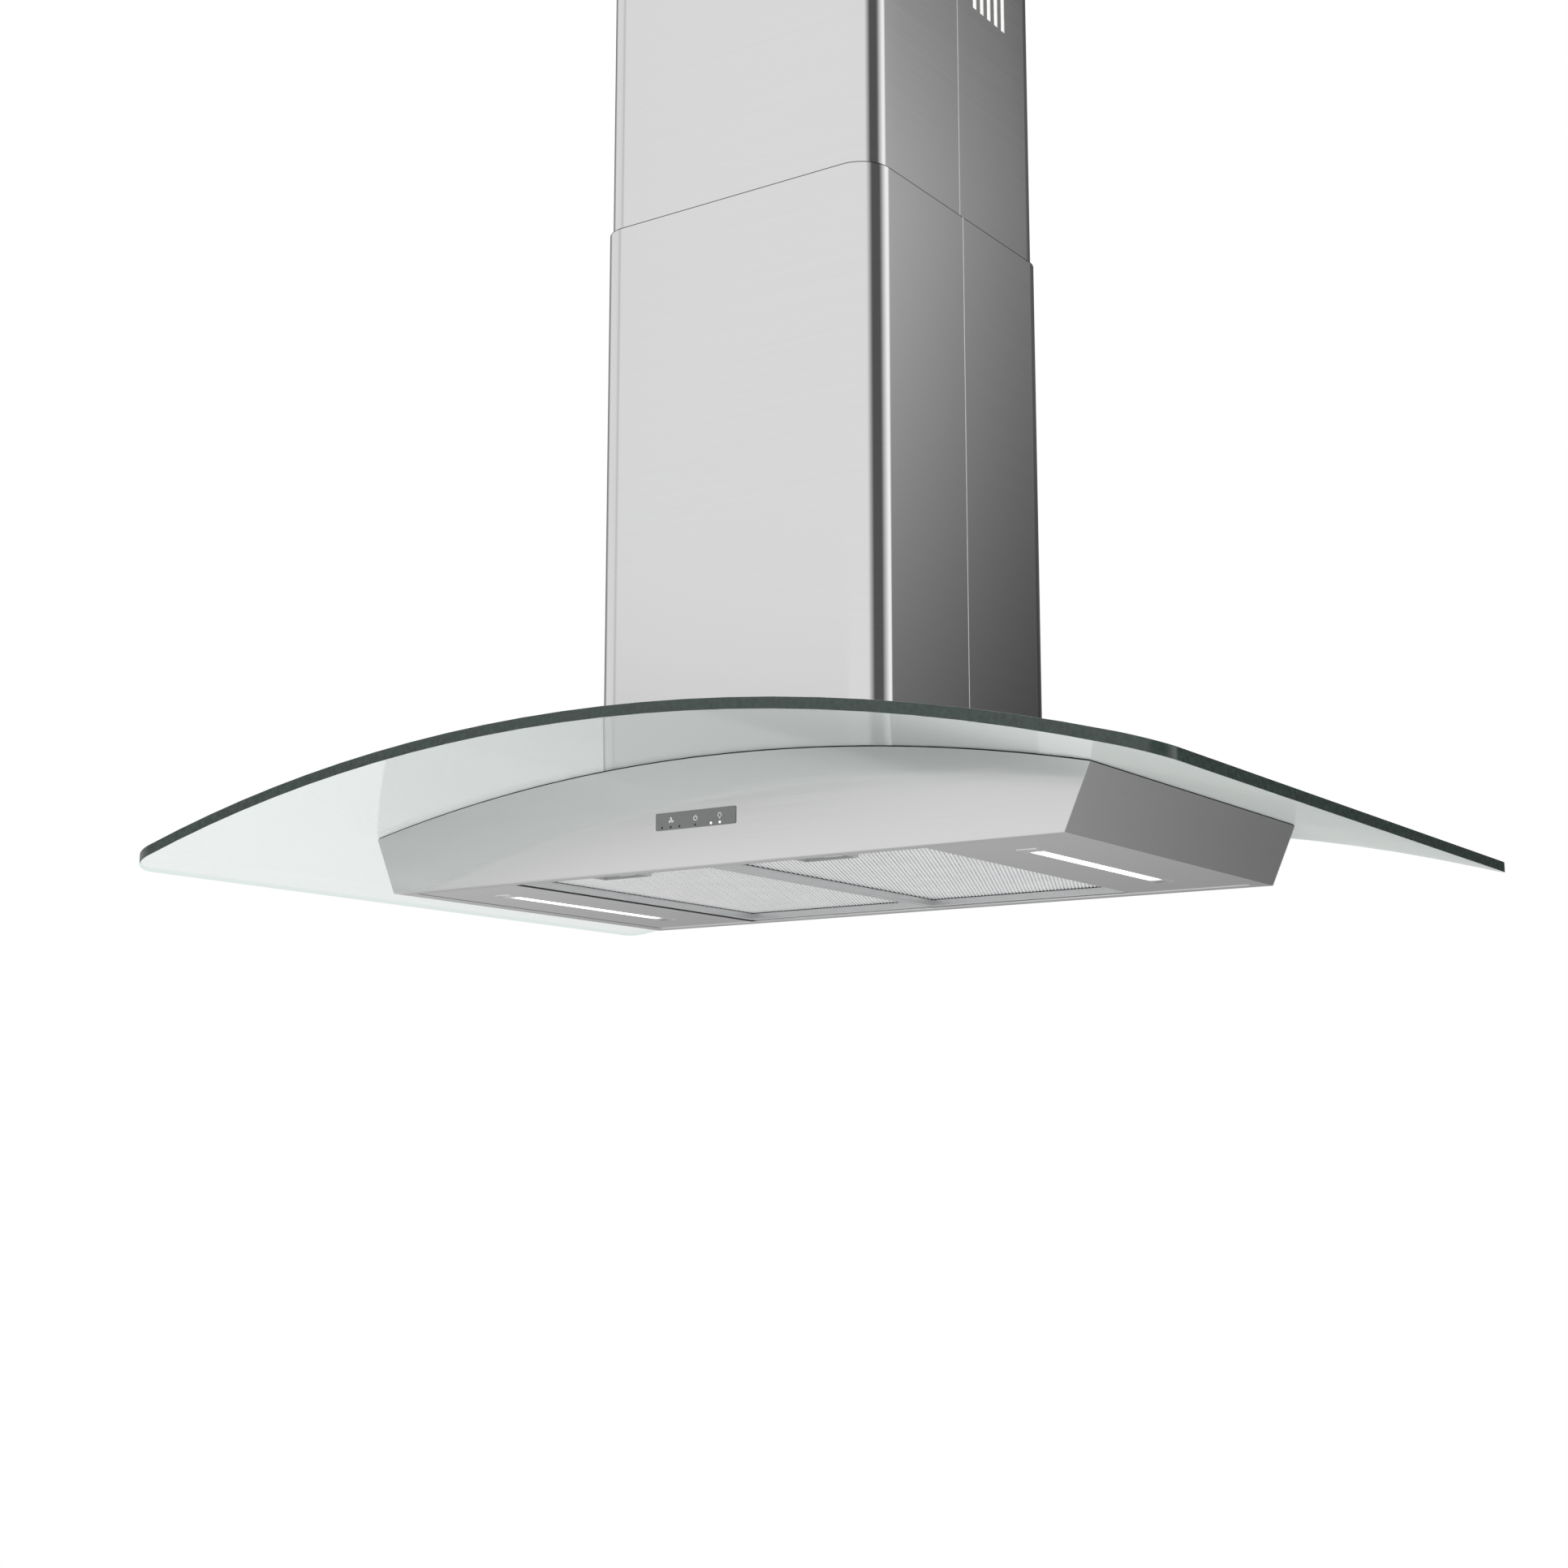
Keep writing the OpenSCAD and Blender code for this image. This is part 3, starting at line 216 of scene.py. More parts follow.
def rim_highlight_mask(tree, x, y, z):
    """Painted highlight along the outer edge of the lamp bezels' faces."""
    low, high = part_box("lamp_bezel_right")
    middle, half = (low + high) / 2, (high - low) / 2
    far_x = tree.math("SUBTRACT", tree.math("ABSOLUTE", x), middle.x)
    far_x = tree.math("SUBTRACT", tree.math("ABSOLUTE", far_x), half.x - BEZEL_FLANGE)
    far_y = tree.math("ABSOLUTE", tree.math("SUBTRACT", y, middle.y))
    far_y = tree.math("SUBTRACT", far_y, half.y - BEZEL_FLANGE)
    return tree.math("GREATER_THAN", tree.math("MAXIMUM", far_x, far_y), -RIM_WIDTH)


def brushed_steel(name, along, axis, turn, tone=0.765, rough=(0.10, 0.15), smear=0.75,
                  pale=None, dark=None, dark_tone=STEP_SHADE_TONE):
    """Satin stainless sheet. The grain runs along the named axes and blurs light across itself.

    The pale mask paints highlights along edges, and the dark mask paints shade lines.
    """
    material, tree, shader, place = new_material(name)

    def grain(across, detail):
        stretch = [GRAIN_LONG if a in along else across for a in "XYZ"]
        return tree.noise(place, 1.0, detail, 0.6, stretch)

    fine, broad = grain(GRAIN_FINE, 3.0), grain(GRAIN_BROAD, 2.0)
    both = tree.math("ADD", tree.math("MULTIPLY", fine, 0.6), tree.math("MULTIPLY", broad, 0.4))
    cloud = tree.noise(place, 4.0, 3.0)
    worn = tree.math("ADD", tree.math("MULTIPLY", both, 0.7), tree.math("MULTIPLY", cloud, 0.3))
    low = tuple(tone * k for k in (0.975, 0.977, 0.98))
    high = tuple(tone * k for k in (1.02, 1.02, 1.022))
    colour = tinted(tree, both, low, high)
    tree.link(tree.span(worn, *rough), shader.inputs["Roughness"])
    shader.inputs["Metallic"].default_value = 1.0
    split = tree.add("ShaderNodeSeparateXYZ")
    tree.link(place, split.inputs[0])
    if dark:
        colour = tree.mix(dark(tree, *split.outputs), colour, dark_tone)
    if pale:
        edge = pale(tree, *split.outputs)
        colour = tree.mix(edge, colour, HIGHLIGHT_TONE)
        metal = tree.math("SUBTRACT", 1.0, tree.math("MULTIPLY", edge, HIGHLIGHT_MATT))
        tree.link(metal, shader.inputs["Metallic"])
    tree.link(colour, shader.inputs["Base Color"])
    shader.inputs["Anisotropic"].default_value = smear
    shader.inputs["Anisotropic Rotation"].default_value = turn
    tangent = tree.add("ShaderNodeTangent", direction_type="RADIAL", axis=axis)
    tree.link(tangent.outputs[0], shader.inputs["Tangent"])
    add_bump(tree, shader, fine, 0.03, 0.00001)
    return material


def zinc_sheet(name, tone=(0.60, 0.62, 0.64)):
    """Galvanised sheet with a faint spangle."""
    material, tree, shader, place = new_material(name)
    cells = tree.add("ShaderNodeTexVoronoi")
    cells.inputs["Scale"].default_value = 180
    tree.link(place, cells.inputs["Vector"])
    spangle = tree.add("ShaderNodeSeparateColor")
    tree.link(cells.outputs["Color"], spangle.inputs[0])
    cloud = tree.noise(place, 14.0)
    mixed = tree.math("ADD", tree.math("MULTIPLY", spangle.outputs[0], 0.5),
                      tree.math("MULTIPLY", cloud, 0.5))
    low = tuple(c * 0.82 for c in tone)
    high = tuple(min(1.0, c * 1.12) for c in tone)
    tree.link(tinted(tree, mixed, low, high), shader.inputs["Base Color"])
    tree.link(tree.span(mixed, 0.34, 0.52), shader.inputs["Roughness"])
    shader.inputs["Metallic"].default_value = 0.9
    add_bump(tree, shader, cloud, 0.12, 0.0003)
    return material


def moulded(name, low, high, rough=(0.38, 0.55), grain=900.0, strength=0.15):
    """Moulded plastic or rubber with a fine eroded texture."""
    material, tree, shader, place = new_material(name)
    fine = tree.noise(place, grain, 2.0)
    cloud = tree.noise(place, 22.0, 4.0)
    mixed = tree.math("ADD", tree.math("MULTIPLY", fine, 0.5), tree.math("MULTIPLY", cloud, 0.5))
    tree.link(tinted(tree, mixed, low, high), shader.inputs["Base Color"])
    tree.link(tree.span(mixed, *rough), shader.inputs["Roughness"])
    add_bump(tree, shader, fine, strength, 0.0001)
    return material


def plated(name, tone, rough=(0.18, 0.34), metal=1.0):
    """Turned or pressed bright metal for fasteners, shafts, levers and filter sheet."""
    material, tree, shader, place = new_material(name)
    marks = tree.noise(place, 700.0, 3.0)
    cloud = tree.noise(place, 40.0, 3.0)
    mixed = tree.math("ADD", tree.math("MULTIPLY", marks, 0.5), tree.math("MULTIPLY", cloud, 0.5))
    low = tuple(c * 0.88 for c in tone)
    tree.link(tinted(tree, mixed, low, tone), shader.inputs["Base Color"])
    tree.link(tree.span(mixed, *rough), shader.inputs["Roughness"])
    shader.inputs["Metallic"].default_value = metal
    add_bump(tree, shader, marks, 0.12, 0.00005)
    return material


def clear_glass(name):
    """Tempered float glass: clear through its faces; its ground edges are an opaque dark
    grey-green, painted shade in place of the light lost along the glass.
    """
    material, tree, shader, place = new_material(name)
    shader.inputs["Base Color"].default_value = (0.930, 0.978, 0.958, 1)
    shader.inputs["Transmission Weight"].default_value = 1.0
    shader.inputs["IOR"].default_value = 1.5
    # painted sheen: a full-weight sheen, which clean glass doesn't have, lays a pale veil over the
    # glass at glancing angles
    shader.inputs["Sheen Weight"].default_value = 1.0
    shader.inputs["Sheen Roughness"].default_value = 0.42
    shader.inputs["Sheen Tint"].default_value = (0.90, 0.96, 0.93, 1)
    haze = tree.noise(place, 30.0, 3.0)
    tree.link(tree.span(haze, 0.0, 0.012), shader.inputs["Roughness"])
    add_bump(tree, shader, tree.noise(place, 3.0, 2.0), 0.02, 0.0004)

    # painted shade: the edge faces are drawn opaque dark grey-green from the front and see-through
    # pale green from behind
    rim = tree.add("ShaderNodeBsdfPrincipled")
    marks = tree.noise(place, 260.0, 3.0)
    tree.link(tinted(tree, marks, (0.030, 0.046, 0.041), (0.052, 0.074, 0.066)),
              rim.inputs["Base Color"])
    tree.link(tree.span(marks, 0.10, 0.22), rim.inputs["Roughness"])
    pale = tree.add("ShaderNodeBsdfTransparent")
    pale.inputs["Color"].default_value = (0.80, 0.88, 0.85, 1)
    side = tree.add("ShaderNodeMixShader")
    tree.link(tree.add("ShaderNodeNewGeometry").outputs["Backfacing"], side.inputs[0])
    tree.link(rim.outputs[0], side.inputs[1])
    tree.link(pale.outputs[0], side.inputs[2])

    up = tree.add("ShaderNodeSeparateXYZ")
    tree.link(tree.add("ShaderNodeTexCoord").outputs["Normal"], up.inputs[0])
    edge = tree.math("LESS_THAN", tree.math("ABSOLUTE", up.outputs[2]), 0.5)
    whole = tree.add("ShaderNodeMixShader")
    tree.link(edge, whole.inputs[0])
    tree.link(shader.outputs[0], whole.inputs[1])
    tree.link(side.outputs[0], whole.inputs[2])
    output = next(n for n in tree.tree.nodes if n.type == "OUTPUT_MATERIAL")
    tree.link(whole.outputs[0], output.inputs["Surface"])
    return material


def glowing(name, tone, strength, low=0.94):
    """Plastic that gives off light of its own, a little uneven."""
    material, tree, shader, place = new_material(name)
    cloud = tree.noise(place, 60.0, 3.0)
    dim = tuple(c * low for c in tone)
    tree.link(tinted(tree, cloud, dim, tone), shader.inputs["Base Color"])
    tree.link(tinted(tree, cloud, dim, tone), shader.inputs["Emission Color"])
    shader.inputs["Emission Strength"].default_value = strength
    tree.link(tree.span(cloud, 0.4, 0.55), shader.inputs["Roughness"])
    return material


def circuit_board(name):
    material, tree, shader, place = new_material(name)
    tracks = tree.add("ShaderNodeTexBrick")
    tracks.inputs["Scale"].default_value = 260
    tracks.inputs["Color1"].default_value = (0.02, 0.16, 0.07, 1)
    tracks.inputs["Color2"].default_value = (0.03, 0.20, 0.09, 1)
    tracks.inputs["Mortar"].default_value = (0.10, 0.30, 0.14, 1)
    tree.link(place, tracks.inputs["Vector"])
    tree.link(tracks.outputs["Color"], shader.inputs["Base Color"])
    cloud = tree.noise(place, 90.0)
    tree.link(tree.span(cloud, 0.28, 0.45), shader.inputs["Roughness"])
    add_bump(tree, shader, tracks.outputs["Fac"], 0.2, 0.00005)
    return material


# the cover materials carry a painted highlight along their seam
STEEL_UPPER = brushed_steel("steel_upper_cover", "XY", "Z", 0.25, pale=seam_highlight_mask)
# the lower covers also carry a painted shade line along their top edge
STEEL_LOWER = brushed_steel("steel_lower_cover", "XY", "Z", 0.25, pale=seam_highlight_mask, dark=step_shade_mask)
STEEL_BODY = brushed_steel("steel_body", "XY", "Z", 0.25, 0.765, (0.09, 0.13), 0.4)
STEEL_END = brushed_steel("steel_end", "Y", "Y", 0.0)
# the light panels carry a painted shadow line beside the filters
STEEL_LAMPS = brushed_steel("steel_light_panel", "Y", "Y", 0.0, dark=gap_shade_mask,
                            dark_tone=GAP_SHADE_TONE)
# the bezels carry a painted highlight along their outer rim
STEEL_TRIM = brushed_steel("steel_trim", "Y", "Y", 0.0, 0.80, pale=rim_highlight_mask)
ZINC = zinc_sheet("zinc")
GLASS = clear_glass("canopy_glass")
RUBBER = moulded("black_rubber", (0.012, 0.012, 0.012), (0.03, 0.03, 0.03), (0.6, 0.8))
BLACK = moulded("black_plastic", (0.018, 0.018, 0.018), (0.04, 0.04, 0.04))
GREY = moulded("grey_plastic", (0.24, 0.25, 0.25), (0.33, 0.34, 0.34))
SILVER = moulded("silver_plastic", (0.42, 0.43, 0.43), (0.50, 0.51, 0.51), (0.25, 0.38))
WHITE = moulded("white_plastic", (0.78, 0.78, 0.77), (0.88, 0.88, 0.87), (0.3, 0.45))
FASCIA = moulded("fascia_grey", (0.205, 0.207, 0.207), (0.245, 0.247, 0.247), (0.3, 0.42),
                 1500.0, 0.05)
BRIGHT = plated("bright_fasteners", (0.74, 0.75, 0.76))
ALUMINIUM = plated("filter_aluminium", (0.72, 0.735, 0.735), (0.28, 0.40), 0.8)
# painted reflection: the aluminium filter mesh is drawn near white and barely metallic, its pale
# tone standing in for the bright light the real mesh reflects
STRANDS = plated("filter_strands", (0.93, 0.935, 0.94), (0.30, 0.44), 0.15)
MOTOR = zinc_sheet("motor_case", (0.30, 0.31, 0.33))
# painted light: the diverter is no lamp, yet it glows faintly so the vents in front of it read
# nearly white
DIVERTER_GLOW = glowing("diverter_plastic", (0.90, 0.90, 0.89), 0.42, 0.9)
LAMP = glowing("lamp_light", (1.0, 0.99, 0.965), 2.2)
DOT_LIT = glowing("dot_light", (1.0, 1.0, 1.0), 1.6)
DOT_DARK = moulded("dot_dark", (0.005, 0.005, 0.005), (0.015, 0.015, 0.015), (0.15, 0.25))
BOARD = circuit_board("circuit_board")
MARKS = moulded("printed_marks", (0.80, 0.80, 0.80), (0.92, 0.92, 0.92), (0.35, 0.5))

NODE_LOOKS = {
    ZINC: ["ceiling_bracket", "upper_legs", "upper_ties", "diverter_hangers", "lower_legs",
           "lower_ties", "frame_base", "lamp_housings", "airbox_shell", "airbox_cover",
           "motor_bracket", "wiring_box"],
    STEEL_UPPER: ["upper_cover_front", "upper_cover_rear"],
    STEEL_LOWER: ["lower_cover_front", "lower_cover_rear"],
    STEEL_BODY: ["front_panel", "rear_panel", "chassis_plate"],
    STEEL_END: ["end_panel_left", "end_panel_right"],
    STEEL_LAMPS: ["light_panel_left", "light_panel_right"],
    STEEL_TRIM: ["lamp_bezel_left", "lamp_bezel_right"],
    GREY: ["damper_flap_left", "damper_flap_right"],
    SILVER: ["latch_cup_left", "latch_cup_right"],
    DIVERTER_GLOW: ["air_diverter"],
    BLACK: ["diverter_spigot", "scroll_front", "scroll_rear", "duct_collar", "impeller_wheel"],
    BRIGHT: ["upper_screws", "frame_bolts", "damper_pin", "hood_screws", "motor_shaft",
             "latch_slider_left", "latch_slider_right"],
    RUBBER: ["base_seal", "glass_gasket"],
    GLASS: ["glass_canopy"],
    WHITE: ["capacitor", "driver_box"],
    LAMP: ["lamp_diffuser_left", "lamp_diffuser_right"],
    BOARD: ["led_boards", "control_board"],
    FASCIA: ["control_fascia"],
    DOT_LIT: ["indicators_lit"],
    DOT_DARK: ["indicators_dark"],
    MOTOR: ["motor"],
    ALUMINIUM: ["filter_frame_left", "filter_frame_right"],
    STRANDS: ["filter_mesh_left", "filter_mesh_right"],
}


def dress_nodes():
    for material, names in NODE_LOOKS.items():
        for name in names:
            for slot in NODES[name].material_slots:
                slot.material = material


# ---------- softened edges ----------

SHEET_EDGE = 0.35 * MM
COVER_EDGE = 0.45 * MM
GLASS_EDGE = 0.7 * MM
WELD = 0.001 * MM

EDGES = {
    COVER_EDGE: ["upper_cover_front", "upper_cover_rear", "lower_cover_front",
                 "lower_cover_rear"],
    SHEET_EDGE: ["front_panel", "rear_panel", "end_panel_left", "end_panel_right",
                 "light_panel_left", "light_panel_right", "lamp_bezel_left", "lamp_bezel_right",
                 "filter_frame_left", "filter_frame_right", "latch_cup_left", "latch_cup_right",
                 "latch_slider_left", "latch_slider_right", "control_fascia", "air_diverter",
                 "ceiling_bracket", "airbox_shell", "airbox_cover", "duct_collar"],
    GLASS_EDGE: ["glass_canopy"],
}


def soften_edges():
    for width, names in EDGES.items():
        for name in names:
            weld = NODES[name].modifiers.new("weld", "WELD")
            weld.merge_threshold = WELD
            flat = NODES[name].modifiers.new("flat_faces", "DECIMATE")
            flat.decimate_type = "DISSOLVE"
            flat.angle_limit = math.radians(0.05)
            bevel = NODES[name].modifiers.new("bevel", "BEVEL")
            bevel.width = width
            bevel.segments = 2
            bevel.limit_method = "ANGLE"
            bevel.angle_limit = math.radians(38)
            even = NODES[name].modifiers.new("even_normals", "WEIGHTED_NORMAL")
            even.weight = 90


# ---------- filter mesh ----------

CORE_HALF = Vector((2.6 * MM, 5.4 * MM))
HOLE_SHARE = 0.52
RIDGE_PITCH = 3.27 * MM
RIDGE_SLANT = 1 / math.tan(math.radians(115.5))
RIDGE_PROFILE = (0.0, 1.0, 0.45)
RIDGE_DROP = 0.75 * MM
RIDGE_STEP = 2.0 * MM
STRAND_T = 0.25 * MM


def add_sheet(name, points, faces, thickness):
    mesh = bpy.data.meshes.new(name)
    mesh.from_pydata(points, [], faces)
    mesh.materials.append(STRANDS)
    piece = bpy.data.objects.new(name, mesh)
    bpy.context.scene.collection.objects.link(piece)
    solid = piece.modifiers.new("thickness", "SOLIDIFY")
    solid.thickness = thickness
    solid.offset = -1.0
    return piece


def inside(box, x, y):
    return box[0][0] < x < box[1][0] and box[0][1] < y < box[1][1]


def ridged_sheet(name, low, high, z, gap_box):
    """Louvred sheet of slanting ridges, pierced in the valleys between them."""
    step = RIDGE_PITCH / len(RIDGE_PROFILE)
    rows = int((high.y - low.y) / RIDGE_STEP)
    shift = RIDGE_SLANT * (high.y - low.y)
    first = int((low.x - max(shift, 0)) / step) - 1
    last = int((high.x - min(shift, 0)) / step) + 1
    points, index, faces = [], {}, []

    def spot(i, j):
        x = i * step + RIDGE_SLANT * j * RIDGE_STEP
        return min(max(x, low.x), high.x), low.y + j * RIDGE_STEP

    def corner(i, j):
        if (i, j) not in index:
            nick = 0.72 if (j + i // len(RIDGE_PROFILE)) % 2 else 1.0
            drop = RIDGE_PROFILE[i % len(RIDGE_PROFILE)] * RIDGE_DROP * nick
            index[i, j] = len(points)
            points.append((*spot(i, j), z - drop))
        return index[i, j]

    for j in range(rows):
        for i in range(first, last):
            ring = ((i, j), (i, j + 1), (i + 1, j + 1), (i + 1, j))
            xs = [spot(*c)[0] for c in ring]
            if max(xs[0], xs[1]) >= high.x or min(xs[2], xs[3]) <= low.x:
                continue
            x, y = sum(xs) / 4, low.y + (j + 0.5) * RIDGE_STEP
            pierced = i % len(RIDGE_PROFILE) == 2 and (j + i // len(RIDGE_PROFILE)) % 2
            if pierced or inside(gap_box, x, y):
                continue
            faces.append(tuple(corner(*c) for c in ring))
    return add_sheet(name, points, faces, STRAND_T)


def expanded_sheet(name, low, high, half, z, lean, gap_box):
    """Stretched sheet of diamond openings between two plan corners, its strands leaning."""
    points, index, faces = [], {}, []

    def point(x, y, dz):
        key = (round(x / MM, 3), round(y / MM, 3), round(dz / MM, 4))
        if key not in index:
            index[key] = len(points)
            points.append((x, y, z + dz))
        return index[key]

    columns = int((high.x - low.x) / half.x)
    rows = int((high.y - low.y) / half.y)
    start = Vector(((low.x + high.x - columns * half.x) / 2, (low.y + high.y - rows * half.y) / 2))
    for i in range(1, columns):
        for j in range(1, rows):
            if (i + j) % 2:
                continue
            cx, cy = start.x + i * half.x, start.y + j * half.y
            if inside(gap_box, cx, cy):
                continue
            ways = ((1, 0), (0, 1), (-1, 0), (0, -1))
            outer = [point(cx + a * half.x, cy + b * half.y, 0) for a, b in ways]
            inner = [point(cx + a * half.x * HOLE_SHARE, cy + b * half.y * HOLE_SHARE, b * lean)
                     for a, b in ways]
            for k in range(4):
                n = (k + 1) % 4
                faces.append((outer[k], inner[k], inner[n], outer[n]))
    return add_sheet(name, points, faces, STRAND_T)


def make_filters():
    for side in ("left", "right"):
        low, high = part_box("filter_mesh_" + side)
        cup_low, cup_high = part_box("latch_cup_" + side)
        reach = 1.2 * MM
        gap = ((cup_low.x - reach, cup_low.y - 1), (cup_high.x + reach, cup_high.y + reach))
        face = ridged_sheet("ridged_face_" + side, low, high, low.z + 0.9 * MM, gap)
        core = expanded_sheet("expanded_core_" + side, low, high, CORE_HALF,
                              low.z + 1.6 * MM, -0.3 * MM, gap)
        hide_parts("filter_mesh_" + side)
        for piece in (face, core):
            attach(piece, "filter_" + side)


# ---------- printed marks on the control strip ----------

MARK_HEIGHT = 36 * MM
MARK_PROUD = 0.06 * MM


def ellipse(cx, cz, a, b, turn=0.0, steps=20):
    points = []
    for k in range(steps):
        t = 2 * math.pi * k / steps
        x, z = a * math.cos(t), b * math.sin(t)
        points.append((cx + x * math.cos(turn) - z * math.sin(turn),
                       cz + x * math.sin(turn) + z * math.cos(turn)))
    return points


def arc_band(cx, cz, inner, outer, start, stop, steps=24):
    turns = [start + (stop - start) * k / steps for k in range(steps + 1)]
    rim = [(cx + outer * math.cos(t), cz + outer * math.sin(t)) for t in turns]
    return rim + [(cx + inner * math.cos(t), cz + inner * math.sin(t)) for t in reversed(turns)]


def bar(x0, z0, x1, z1):
    return [(x0, z0), (x1, z0), (x1, z1), (x0, z1)]


def make_mark(name, outlines, x):
    """Thin printed shape on the strip's front, from outlines in millimetres."""
    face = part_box("control_fascia")[0].y
    shape = bmesh.new()
    for outline in outlines:
        rings = []
        for y in (face - MARK_PROUD, face + MARK_PROUD):
            rings.append([shape.verts.new((x + px * MM, y, level(MARK_HEIGHT + pz * MM)))
                          for px, pz in outline])
        shape.faces.new(rings[0])
        shape.faces.new(list(reversed(rings[1])))
        for k in range(len(outline)):
            n = (k + 1) % len(outline)
            shape.faces.new((rings[0][n], rings[0][k], rings[1][k], rings[1][n]))
    bmesh.ops.triangulate(shape, faces=shape.faces)
    bmesh.ops.recalc_face_normals(shape, faces=shape.faces)
    mesh = bpy.data.meshes.new(name)
    shape.to_mesh(mesh)
    shape.free()
    mesh.materials.append(MARKS)
    piece = bpy.data.objects.new(name, mesh)
    bpy.context.scene.collection.objects.link(piece)
    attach(piece, "hood")


def make_marks():
    fan = [ellipse(0, 0, 0.5, 0.5)]
    for k in range(3):
        turn = math.radians(90 + 120 * k)
        fan.append(ellipse(1.5 * math.cos(turn), 1.5 * math.sin(turn), 1.15, 0.8,
                           turn + math.radians(35)))
    gap = math.radians(32)
    power = [arc_band(0, 0, 1.35, 2.05, math.radians(90) + gap, math.radians(450) - gap),
             bar(-0.36, 0.3, 0.36, 2.45)]
    lamp = [arc_band(0, 0.5, 1.15, 1.8, math.radians(-62), math.radians(242)),
            bar(-0.9, -1.5, 0.9, -0.95), bar(-0.65, -2.3, 0.65, -1.8)]
    make_mark("mark_fan", fan, -22.5 * MM)
    make_mark("mark_power", power, 0.2 * MM)
    make_mark("mark_lamp", lamp, 22.5 * MM)


# ---------- stage ----------

FLOOR_Z = -3.0
FLOOR_HALF = 14.0
SKY_GAIN = 1.8
ROOM_LIGHT = 1.0


def make_floor():
    bpy.ops.mesh.primitive_plane_add(size=2 * FLOOR_HALF, location=(0, 0, FLOOR_Z))
    floor = bpy.context.object
    floor.name = "floor"
    floor.visible_diffuse = False
    floor.visible_glossy = False
    material = bpy.data.materials.new("pale_floor")
    material.use_nodes = True
    tree = Tree(material.node_tree)
    emission = tree.add("ShaderNodeEmission")
    emission.inputs["Color"].default_value = (1, 1, 1, 1)
    output = tree.add("ShaderNodeOutputMaterial")
    tree.link(emission.outputs[0], output.inputs["Surface"])
    floor.data.materials.append(material)


# studio brightness over the horizon, by azimuth in degrees from +X towards +Y
AZIMUTH_STOPS = [(-180, 0.85), (-150, 0.85), (-138, 0.65), (-129, 0.90), (-40, 0.90),
                 (-20, 0.10), (10, 0.10), (38, 1.10), (50, 1.10), (63, 0.15), (125, 0.05),
                 (160, 0.30), (175, 0.85)]
# a soft light band behind on the right, by the sine of the elevation, and its width
BACK_RISE_STOPS = [(0.15, 0.20), (0.40, 1.0), (0.50, 0.60), (0.60, 0.40)]
BACK_SHARE_STOPS = [(50, 0.0), (55, 1.0), (75, 1.0), (90, 0.0)]
# a dark card low in front: its lower edge, which rises to the right, its width and its top
CARD_FOOT_STOPS = [(-135, 0.12), (-120, 0.16)]
CARD_SHARE_STOPS = [(-150, 0.0), (-140, 1.0), (-110, 1.0), (-100, 0.0)]
CARD_TOP_STOPS = [(0.175, 1.0), (0.195, 0.0)]
CARD_SOFT = 0.01
CARD_DARK = 0.4
# elevations the pattern above fills; the rest of the dome is even
PATTERN_STOPS = [(0.0, 0.0), (0.1, 1.0), (0.55, 1.0), (0.70, 0.0)]
DOME_STOPS = [(0.60, 0.55), (0.70, 0.22)]
# light under the horizon, by azimuth and by the sine of the elevation
LOW_STOPS = [(-180, 0.50), (-140, 0.35), (-120, 0.55), (0, 0.45), (60, 0.30), (70, 0.15),
             (110, 0.35), (135, 0.60)]
LOW_RISE_STOPS = [(-0.45, 1.75), (-0.25, 1.5), (-0.15, 1.0), (-0.12, 1.0), (-0.09, 0.3)]


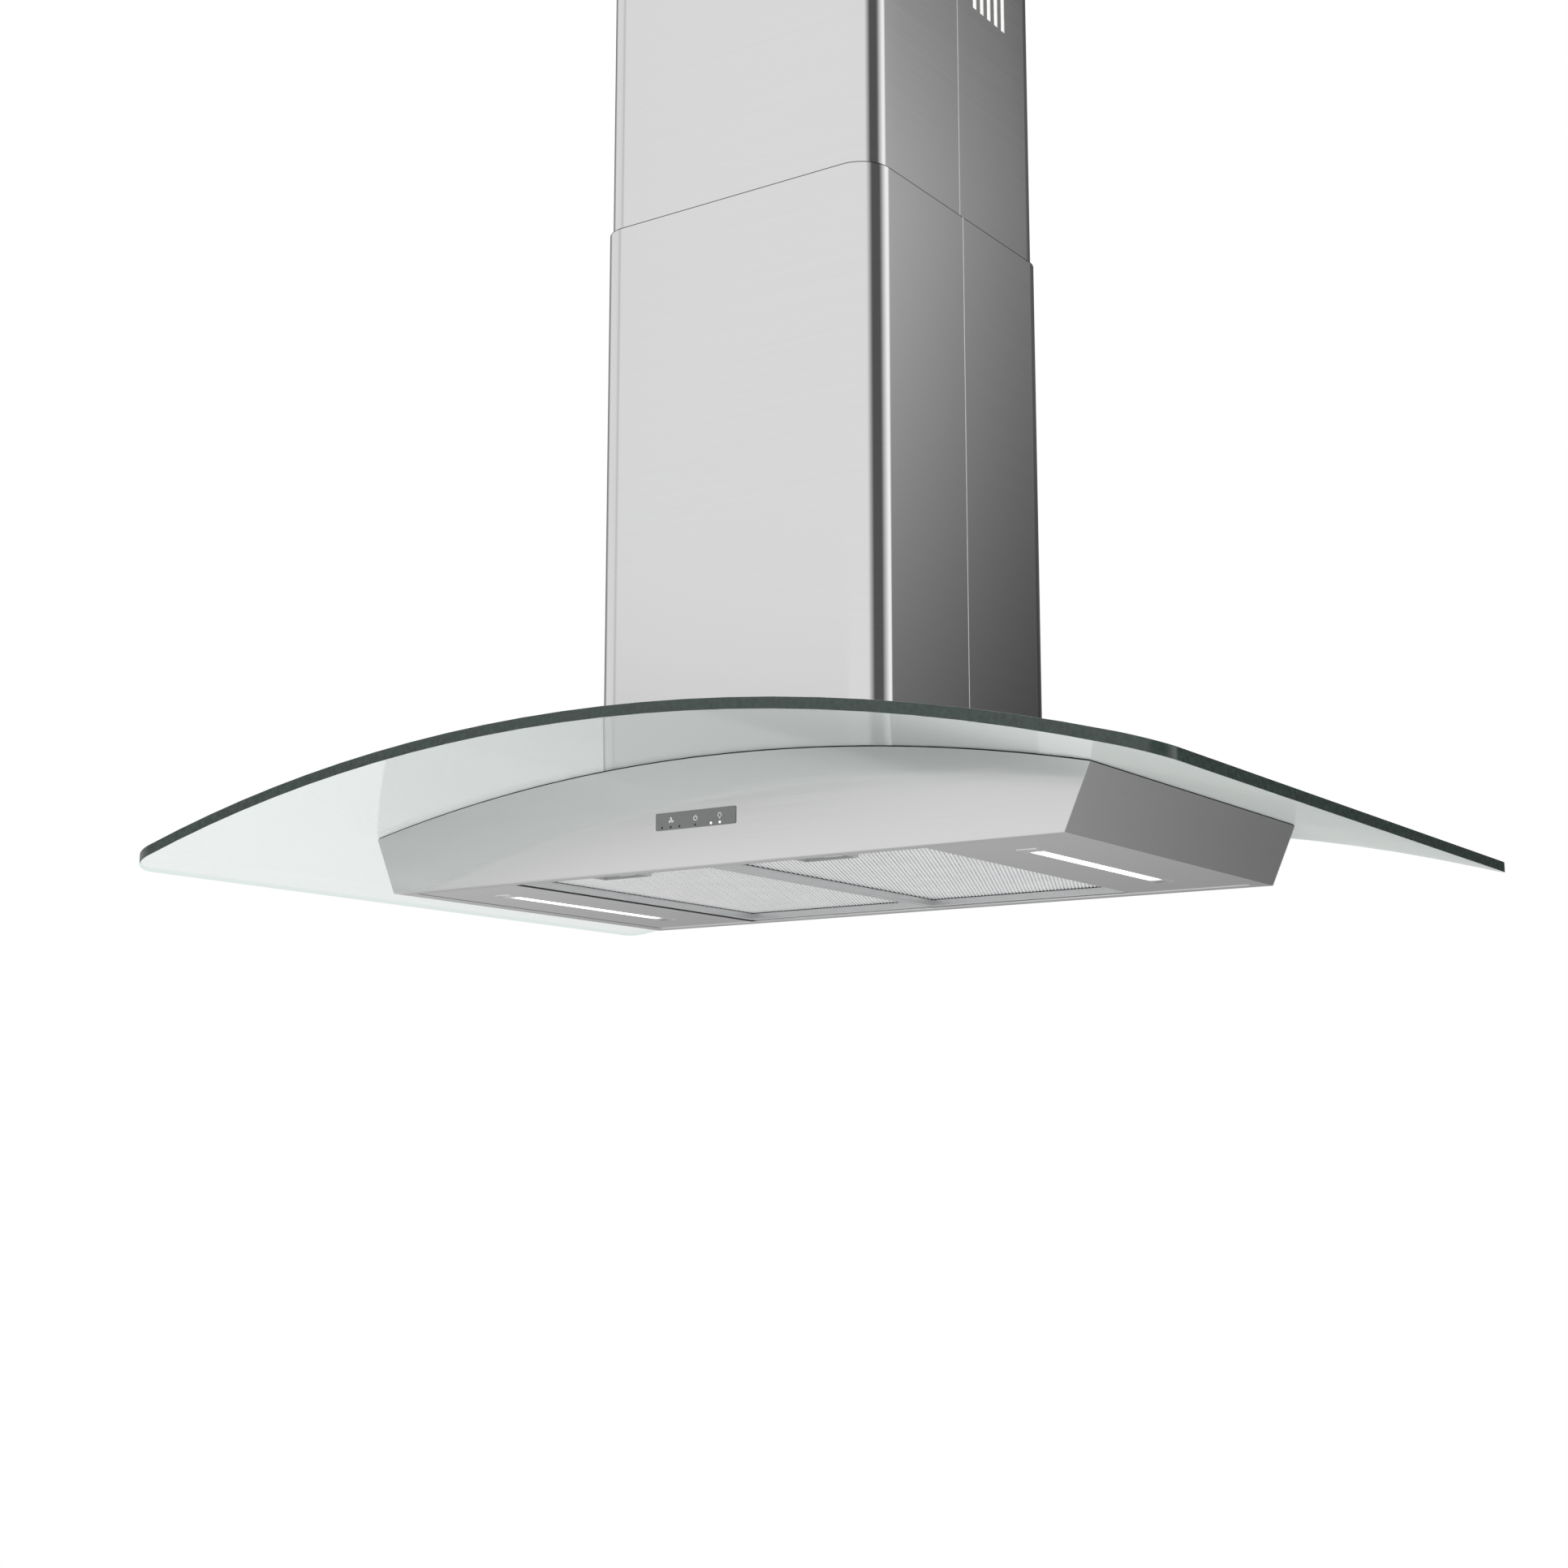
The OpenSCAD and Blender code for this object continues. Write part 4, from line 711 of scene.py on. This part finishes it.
def make_world():
    world = bpy.data.worlds.new("studio")
    bpy.context.scene.world = world
    world.use_nodes = True
    tree = Tree(world.node_tree)
    way = tree.add("ShaderNodeSeparateXYZ")
    tree.link(tree.add("ShaderNodeTexCoord").outputs["Generated"], way.inputs[0])
    x, y, z = way.outputs
    turn = tree.math("ADD", tree.math("DIVIDE", tree.math("ARCTAN2", y, x), 2 * math.pi), 0.5)
    rise = tree.math("ADD", tree.math("MULTIPLY", z, 0.5), 0.5)

    def by_turn(stops, gain=1.0):
        return tree.ramp(turn, [((a + 180) / 360, v / gain) for a, v in stops])

    def by_rise(stops):
        return tree.ramp(rise, [((v + 1) / 2, k) for v, k in stops])

    def blend(a, b, share):
        return tree.math("ADD", tree.math("MULTIPLY", a, tree.math("SUBTRACT", 1.0, share)),
                         tree.math("MULTIPLY", b, share))

    around = tree.math("MULTIPLY", by_turn(AZIMUTH_STOPS, SKY_GAIN), SKY_GAIN)
    shaded = tree.math("MULTIPLY", around, by_rise(BACK_RISE_STOPS))
    upper = blend(around, shaded, by_turn(BACK_SHARE_STOPS))
    foot = tree.math("SUBTRACT", z, by_turn(CARD_FOOT_STOPS))
    card = tree.math("MULTIPLY", tree.math("DIVIDE", foot, CARD_SOFT, clamp=True),
                     by_rise(CARD_TOP_STOPS))
    card = tree.math("MULTIPLY", card, by_turn(CARD_SHARE_STOPS))
    upper = tree.math("MULTIPLY", upper,
                      tree.math("SUBTRACT", 1.0, tree.math("MULTIPLY", card, CARD_DARK)))
    upper = blend(by_rise(DOME_STOPS), upper, by_rise(PATTERN_STOPS))
    low_rise = tree.math("MULTIPLY", by_rise([(v, k / SKY_GAIN) for v, k in LOW_RISE_STOPS]),
                         SKY_GAIN)
    low = tree.math("MULTIPLY", by_turn(LOW_STOPS), low_rise)
    lit = blend(low, upper, by_rise([(-0.02, 0.0), (0.02, 1.0)]))
    path = tree.add("ShaderNodeLightPath").outputs
    lit = blend(lit, ROOM_LIGHT, path["Is Diffuse Ray"])
    straight = tree.math("LESS_THAN", path["Glossy Depth"], 0.5)
    seen = tree.math("MAXIMUM", path["Is Camera Ray"],
                     tree.math("MULTIPLY", path["Is Transmission Ray"], straight))
    background = tree.add("ShaderNodeBackground")
    background.inputs["Color"].default_value = (1, 1, 1, 1)
    tree.link(blend(lit, 1.0, seen), background.inputs["Strength"])
    output = tree.add("ShaderNodeOutputWorld")
    tree.link(background.outputs[0], output.inputs["Surface"])


# ---------- build ----------

make_camera()
make_world()
make_floor()
dress_nodes()
soften_edges()
make_filters()
make_marks()
bpy.context.scene.view_settings.view_transform = "Standard"
